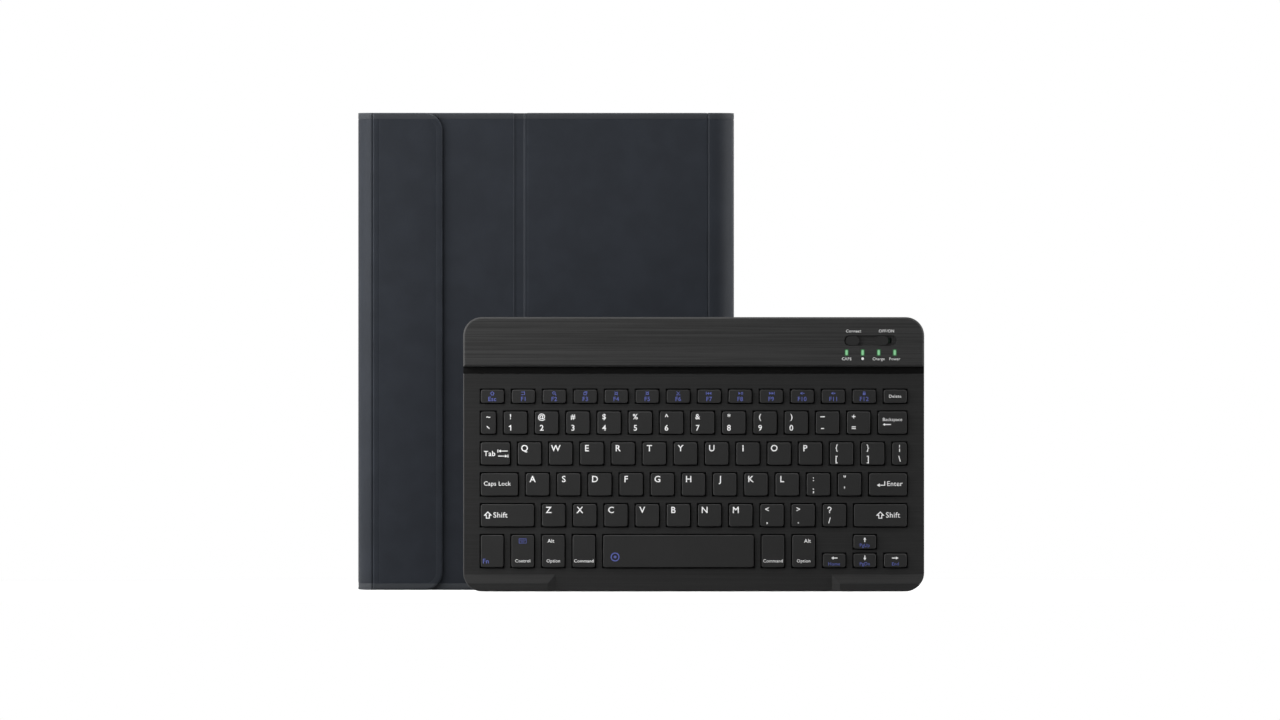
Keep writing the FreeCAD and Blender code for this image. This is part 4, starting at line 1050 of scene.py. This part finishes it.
class Sheet:
    """Signs of one colour on one body, collected as flat points in millimetres and faces."""

    def __init__(self):
        self.points = []
        self.faces = []
        self.count = 0

    def lay(self, points, faces):
        """Add a mesh to the sheet."""
        self.points.append(np.asarray(points))
        self.faces += [np.asarray(face) + self.count for face in faces]
        self.count += len(points)

    def words(self, text, across, up, cap_height, anchor="left", weight=0.0):
        """Text with its base line at up; across is its left end, middle or right end."""
        points, faces = text_mesh(text, weight)
        points = points * cap_height / CAPITAL
        low, high = points[:, 0].min(), points[:, 0].max()
        shift = {"left": -low, "middle": -(low + high) / 2, "right": -high}[anchor]
        self.lay(points + (across + shift, up), faces)
        return high - low

    def stroke(self, line, width):
        """A strip along a line: at each bend both sides move along the mitre, the sum of the two normals."""
        line = np.array(line, float)
        run = np.diff(line, axis=0)
        run = run / np.linalg.norm(run, axis=1)[:, None]
        closed = np.allclose(line[0], line[-1])
        if not closed:
            line[0] -= run[0] * width / 2
            line[-1] += run[-1] * width / 2
        normal = np.column_stack([-run[:, 1], run[:, 0]])
        before = np.concatenate([normal[-1:] if closed else normal[:1], normal])
        after = np.concatenate([normal, normal[:1] if closed else normal[-1:]])
        mitre = (before + after) / np.clip(1 + (before * after).sum(1), 0.25, None)[:, None] * width / 2
        count = len(line)
        start = np.arange(count - 1)
        self.lay(np.concatenate([line - mitre, line + mitre]),
                 np.column_stack([start, start + 1, start + 1 + count, start + count]))

    def draw(self, lines, across, up):
        """A drawing round a point: rows of (line width, points), with width 0 for a filled face."""
        for width, points in lines:
            points = np.array(points, float) + (across, up)
            if width:
                self.stroke(points, width)
            else:
                self.lay(points, [np.arange(len(points))])

    def arrow(self, line, width, head, across, up):
        """A plain arrow drawn round a point; its shaft ends where its head starts."""
        line = np.array(line, float)
        tip = line[-1].copy()
        run = (tip - line[-2]) / np.linalg.norm(tip - line[-2])
        side = np.array([-run[1], run[0]]) * head * 0.62
        neck = tip - run * head
        line[-1] = neck - run * width / 2
        self.draw([(width, line), (0, [tip, neck + side, neck - side])], across, up)

    def print_on(self, name, face, body, colour):
        """Stand the signs up on a face that looks to -Y, and let them ride on a body."""
        flat = np.concatenate(self.points) * MM
        points = np.column_stack([flat[:, 0], np.full(len(flat), face - PRINT_RISE), flat[:, 1]])
        piece = new_piece(name, points, self.faces, INKS[colour], closed=False)
        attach(piece, body)


def circle(across, up, radius, points=25):
    """Points of a circle, with the first one again at the end."""
    return radius * unit(np.linspace(0, math.tau, points)) + (across, up)


# %% [markdown]
# ## What each key says
#
# Single letters stand in the upper left of a cap. Keys with two signs have the shifted one above. Words
# are smaller. Places are in millimetres, from a cap's sides or its middle.

# %% Legends
PAIRS = {"keys_number_left": ["~`", "!1", "@2", "#3", "$4", "%5", "^6"],
         "keys_number_right": ["&7", "*8", "(9", ")0", "_-", "+="],
         "keys_upper_left": "QWERT", "keys_upper_right": "YUIOP",
         "keys_brackets": ["{[", "}]", "\u00a6\\"],
         "keys_home_left": "ASDFG", "keys_home_right": ["H", "J", "K", "L", ":;", "\"'"],
         "keys_lower_left": "ZXCVB", "keys_lower_right": ["N", "M", "<,", ">.", "?/"]}
LETTER = 3.25
DIGIT = 2.95
SIGN = 2.75
SMALL = 1.65
NARROW_KEY = 10.5
STROKE = 0.52
hook = 0.85 * unit(np.radians(np.linspace(165, -60, 12))) + (0, 1.65)
DRAWN = {"?": [np.concatenate([hook, [(0.0, 0.55), (0.0, 0.4)]]), [(-0.02, -0.4), (0.02, -0.4)]],
         "1": [[(-0.7, 2.1), (0.1, 2.68), (0.1, 0.26)]],
         "-": [[(-0.55, 1.1), (0.55, 1.1)]],
         "_": [[(-1.0, 1.3), (1.0, 1.3)]],
         "`": [[(-0.55, 2.1), (0.4, 1.2)]]}
sheets = {}


class Key:
    """One cap's sides and middle in millimetres, with the sheets of signs on its body."""

    def __init__(self, node, index=0):
        self.node = node
        self.left, self.right, self.bottom, self.top = key_boxes[node][0][index] / MM
        self.across = (self.left + self.right) / 2
        self.up = (self.bottom + self.top) / 2

    def sheet(self, colour="white"):
        """The body's sheet of one colour, made at its first use."""
        return sheets.setdefault((self.node, colour), Sheet())

    def sign(self, character, across, base, size):
        """One sign over its base line: a few thin ones are drawn by strokes, the others are letters."""
        if character in DRAWN:
            self.sheet().draw([(STROKE, line) for line in DRAWN[character]], across, base)
        else:
            self.sheet().words(character, across, base, size, "middle", 0.014)


for node, signs in PAIRS.items():
    for index, sign in enumerate(signs):
        key = Key(node, index)
        across = key.across if key.right - key.left < NARROW_KEY else key.left + 3.6
        if len(sign) == 1:
            key.sign(sign, across, key.top - 1.5 - LETTER, LETTER)
        else:
            key.sign(sign[0], across, key.top - 1.4 - SIGN, SIGN)
            key.sign(sign[1], across, key.bottom + 1.8, DIGIT)

key = Key("key_tab")
key.sheet().words("Tab", key.left + 1.7, key.up - 1.3, 2.65, weight=0.008)
for rise, tail, tip in ((1.35, 14.3, 9.5), (-1.35, 9.5, 14.3)):
    stop = tip + math.copysign(0.3, tip - tail)
    key.sheet().arrow([(tail, rise), (tip, rise)], 0.42, 1.3, key.left, key.up)
    key.sheet().draw([(0.42, [(stop, rise - 0.6), (stop, rise + 0.6)])], key.left, key.up)

key = Key("key_caps")
key.sheet().words("Caps Lock", key.left + 1.7, key.up - 0.6, 2.2, weight=0.004)

SHIFT_ARROW = [(0, 1.8), (-1.7, 0.1), (-0.8, 0.1), (-0.8, -1.5), (0.8, -1.5), (0.8, 0.1), (1.7, 0.1),
               (0, 1.8)]
for side in ("left", "right"):
    key = Key("key_shift_" + side)
    start = key.left + 3.8 if side == "left" else key.right - 14.2
    key.sheet().draw([(0.5, SHIFT_ARROW)], start, key.up)
    key.sheet().words("Shift", start + 3.0, key.up - 1.2, 2.8, weight=0.004)

key = Key("key_enter")
word_end = key.right - 2.2
word_width = key.sheet().words("Enter", word_end, key.up - 0.8, 2.5, "right", 0.006)
key.sheet().arrow([(0, 1.5), (0, -0.4), (-4.2, -0.4)], 0.45, 1.5, word_end - word_width - 1.3, key.up)

key = Key("key_backspace")
key.sheet().words("Backspace", key.across, key.top - 5.1, 1.65, "middle")
key.sheet().arrow([(6.6, -7.0), (2.4, -7.0)], 0.5, 1.2, key.left, key.top)
print("white sheets", len(sheets))

# %% [markdown]
# ## Function row and lower row
#
# The function row carries blue signs: a small plain mark above the key's number. The lower row has
# words at the bottom of the cap, and the arrow keys have a white arrow with a blue word below it.

# %% Function row
def wedge(across, way):
    """A small triangle that points to the right, or to the left where way is -1."""
    return np.array([(0.75, 0), (-0.45, 0.75), (-0.45, -0.75)]) * way + (across, 0)


def block(left, bottom, right, top):
    """Corners of a rectangle."""
    return [(left, bottom), (right, bottom), (right, top), (left, top)]


def frame_line(*sides):
    """A rectangle drawn as a closed line."""
    return block(*sides) + block(*sides)[:1]


def upright(across, half):
    """An upright line."""
    return [(across, -half), (across, half)]


rays = [np.outer([0.95, 1.15], way) for way in unit(np.arange(4) * math.pi / 2 + math.pi / 4)]
blades = ([(-0.8, 0.9), (0.29, -0.39)], [(0.8, 0.9), (0.18, 0.17)], [(-0.17, -0.24), (-0.29, -0.39)])
QUIET = [(0, [(-1.0, -0.35), (-0.5, -0.35), (0.1, -0.85), (0.1, 0.85), (-0.5, 0.35), (-1.0, 0.35)]),
         (0.3, [(0.5, 0), (1.1, 0)])]
HOUSE = [(0.3, [(-1.0, 0), (0, 0.9), (1.0, 0)]),
         (0.3, [(-0.6, -0.1), (-0.6, -0.9), (0.6, -0.9), (0.6, -0.1)])]
RETURN = [(0.3, [(-0.9, 0.7), (0.7, 0.7), (0.7, -0.7), (-0.9, -0.7)])]
SEARCH = [(0.3, circle(-0.2, 0.2, 0.65)), (0.35, [(0.52, -0.52), (0.95, -0.95)])]
COPY = [(0.28, frame_line(-0.8, -0.8, 0.5, 0.5)), (0.28, [(-0.3, 0.9), (0.9, 0.9), (0.9, -0.3)])]
SUN = [(0.35, circle(0, 0, 0.6))] + [(0.25, ray) for ray in rays]
SCISSORS = [(0.24, blade) for blade in blades] + [(0.2, circle(side, -0.78, 0.28)) for side in (-0.62, 0.62)]
BACK = [(0, wedge(-0.6, -1)), (0, wedge(0.7, -1)), (0.3, upright(-1.6, 0.7))]
PLAY = [(0, wedge(-0.5, 1)), (0.3, upright(0.7, 0.6)), (0.3, upright(1.3, 0.6))]
NEXT = [(0, wedge(-0.7, 1)), (0, wedge(0.6, 1)), (0.3, upright(1.6, 0.7))]
LOUD = QUIET + [(0, block(0.65, rise - 0.14, 0.95, rise + 0.14)) for rise in (-0.3, 0.3)]
LOCK = [(0, block(-0.75, -0.9, 0.75, 0.15)), (0.28, [(-0.45, 0.3), (-0.45, 0.75), (0.45, 0.75), (0.45, 0.3)])]
FUNCTIONS = {"keys_function_left": [("Esc", HOUSE), ("F1", RETURN), ("F2", SEARCH), ("F3", COPY), ("F4", SUN),
                                    ("F5", SUN), ("F6", SCISSORS)],
             "keys_function_right": [("F7", BACK), ("F8", PLAY), ("F9", NEXT), ("F10", QUIET), ("F11", LOUD),
                                     ("F12", LOCK), ("Delete", None)]}
for node, signs in FUNCTIONS.items():
    for index, (word, mark) in enumerate(signs):
        key = Key(node, index)
        if mark:
            key.sheet("blue").draw(mark, key.across, key.top - 2.0)
            key.sheet("blue").words(word, key.across, key.bottom + 1.1, 2.2, "middle", 0.008)
        else:
            key.sheet().words(word, key.across, key.up - 0.75, 1.6, "middle")
print("function keys", sum(len(signs) for signs in FUNCTIONS.values()))

# %% Lower row
key = Key("keys_modifier_left")
key.sheet("blue").words("Fn", key.left + 1.2, key.bottom + 2.2, 2.4, weight=0.008)
LOWER_WORDS = {"keys_modifier_left": [(1, "Control"), (2, "Option"), (3, "Command")],
               "keys_modifier_right": [(0, "Command"), (1, "Option")]}
for node, signs in LOWER_WORDS.items():
    for index, word in signs:
        key = Key(node, index)
        key.sheet().words(word, key.across, key.bottom + 2.7, SMALL, "middle", 0.002)
        if word == "Option":
            across = key.left + 4.8 if node == "keys_modifier_left" else key.right - 4.0
            key.sheet().words("Alt", across, key.top - 4.1, 1.9, "middle", 0.008)

KEYBOARD = [(0.22, frame_line(-1.9, -1.2, 1.9, 1.2)), (0.26, [(-1.3, 0.45), (1.3, 0.45)]),
            (0.26, [(-0.9, -0.5), (0.9, -0.5)])]
key = Key("keys_modifier_left", 1)
key.sheet("blue").draw(KEYBOARD, key.across, key.top - 3.2)
RING = [(0.55, circle(0, 0, 2.1)), (0.6, circle(0, 0, 0.45))]
key = Key("key_space")
key.sheet("blue").draw(RING, key.left + 6.4, key.bottom + 5.6)

ARROWS = [("keys_arrow_row", 0, (-1.6, 0), "Home"), ("keys_arrow_row", 1, (0, -1.2), "PgDn"),
          ("keys_arrow_row", 2, (1.6, 0), "End"), ("key_arrow_up", 0, (0, 1.2), "PgUp")]
for node, index, tip, word in ARROWS:
    key = Key(node, index)
    key.sheet().arrow(np.outer([-1, 1], tip), 0.5, 1.3, key.across, key.top - 2.4)
    key.sheet("blue").words(word, key.across, key.bottom + 1.1, 1.7, "middle")

for (node, colour), printed in sheets.items():
    printed.print_on(f"{colour}_signs_{node}", key_boxes[node][1], node, colour)
print("sign sheets", len(sheets))

# %% [markdown]
# ## Signs on the bar
#
# The controls in the rear bar are named by small words: what the button does, the two places of the
# slider and what three of the lights mean.

# %% Signs on the bar
LENS_HALF = 1.05
button_low, button_high = [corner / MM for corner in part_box("pair_button")]
knob_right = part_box("power_knob")[1].x / MM
lens_foot = lens_low.z / MM
bar_signs = Sheet()
for word, across in (("Connect", button_low.x + 4.3), ("OFF/ON", knob_right - 1.0)):
    bar_signs.words(word, across, button_high.z + 1.95, 1.5, "middle")
# middle of each light
lights = np.linspace(lens_low.x, lens_high.x, 4) / MM + np.array([1.0, 0.35, -0.35, -1.0]) * LENS_HALF
for across, word in zip(lights[[0, 2, 3]], ("CAPS", "Charge", "Power")):
    bar_signs.words(word, across, lens_foot - 2.3, 1.45, "middle")
bar_signs.draw([(0, circle(0, 0, 0.7, 21)[:-1])], lights[1], lens_foot - 1.5)
bar_signs.print_on("bar_signs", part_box("rear_housing")[0].y, "keyboard", "white")
print("bar signs", len(bar_signs.faces))
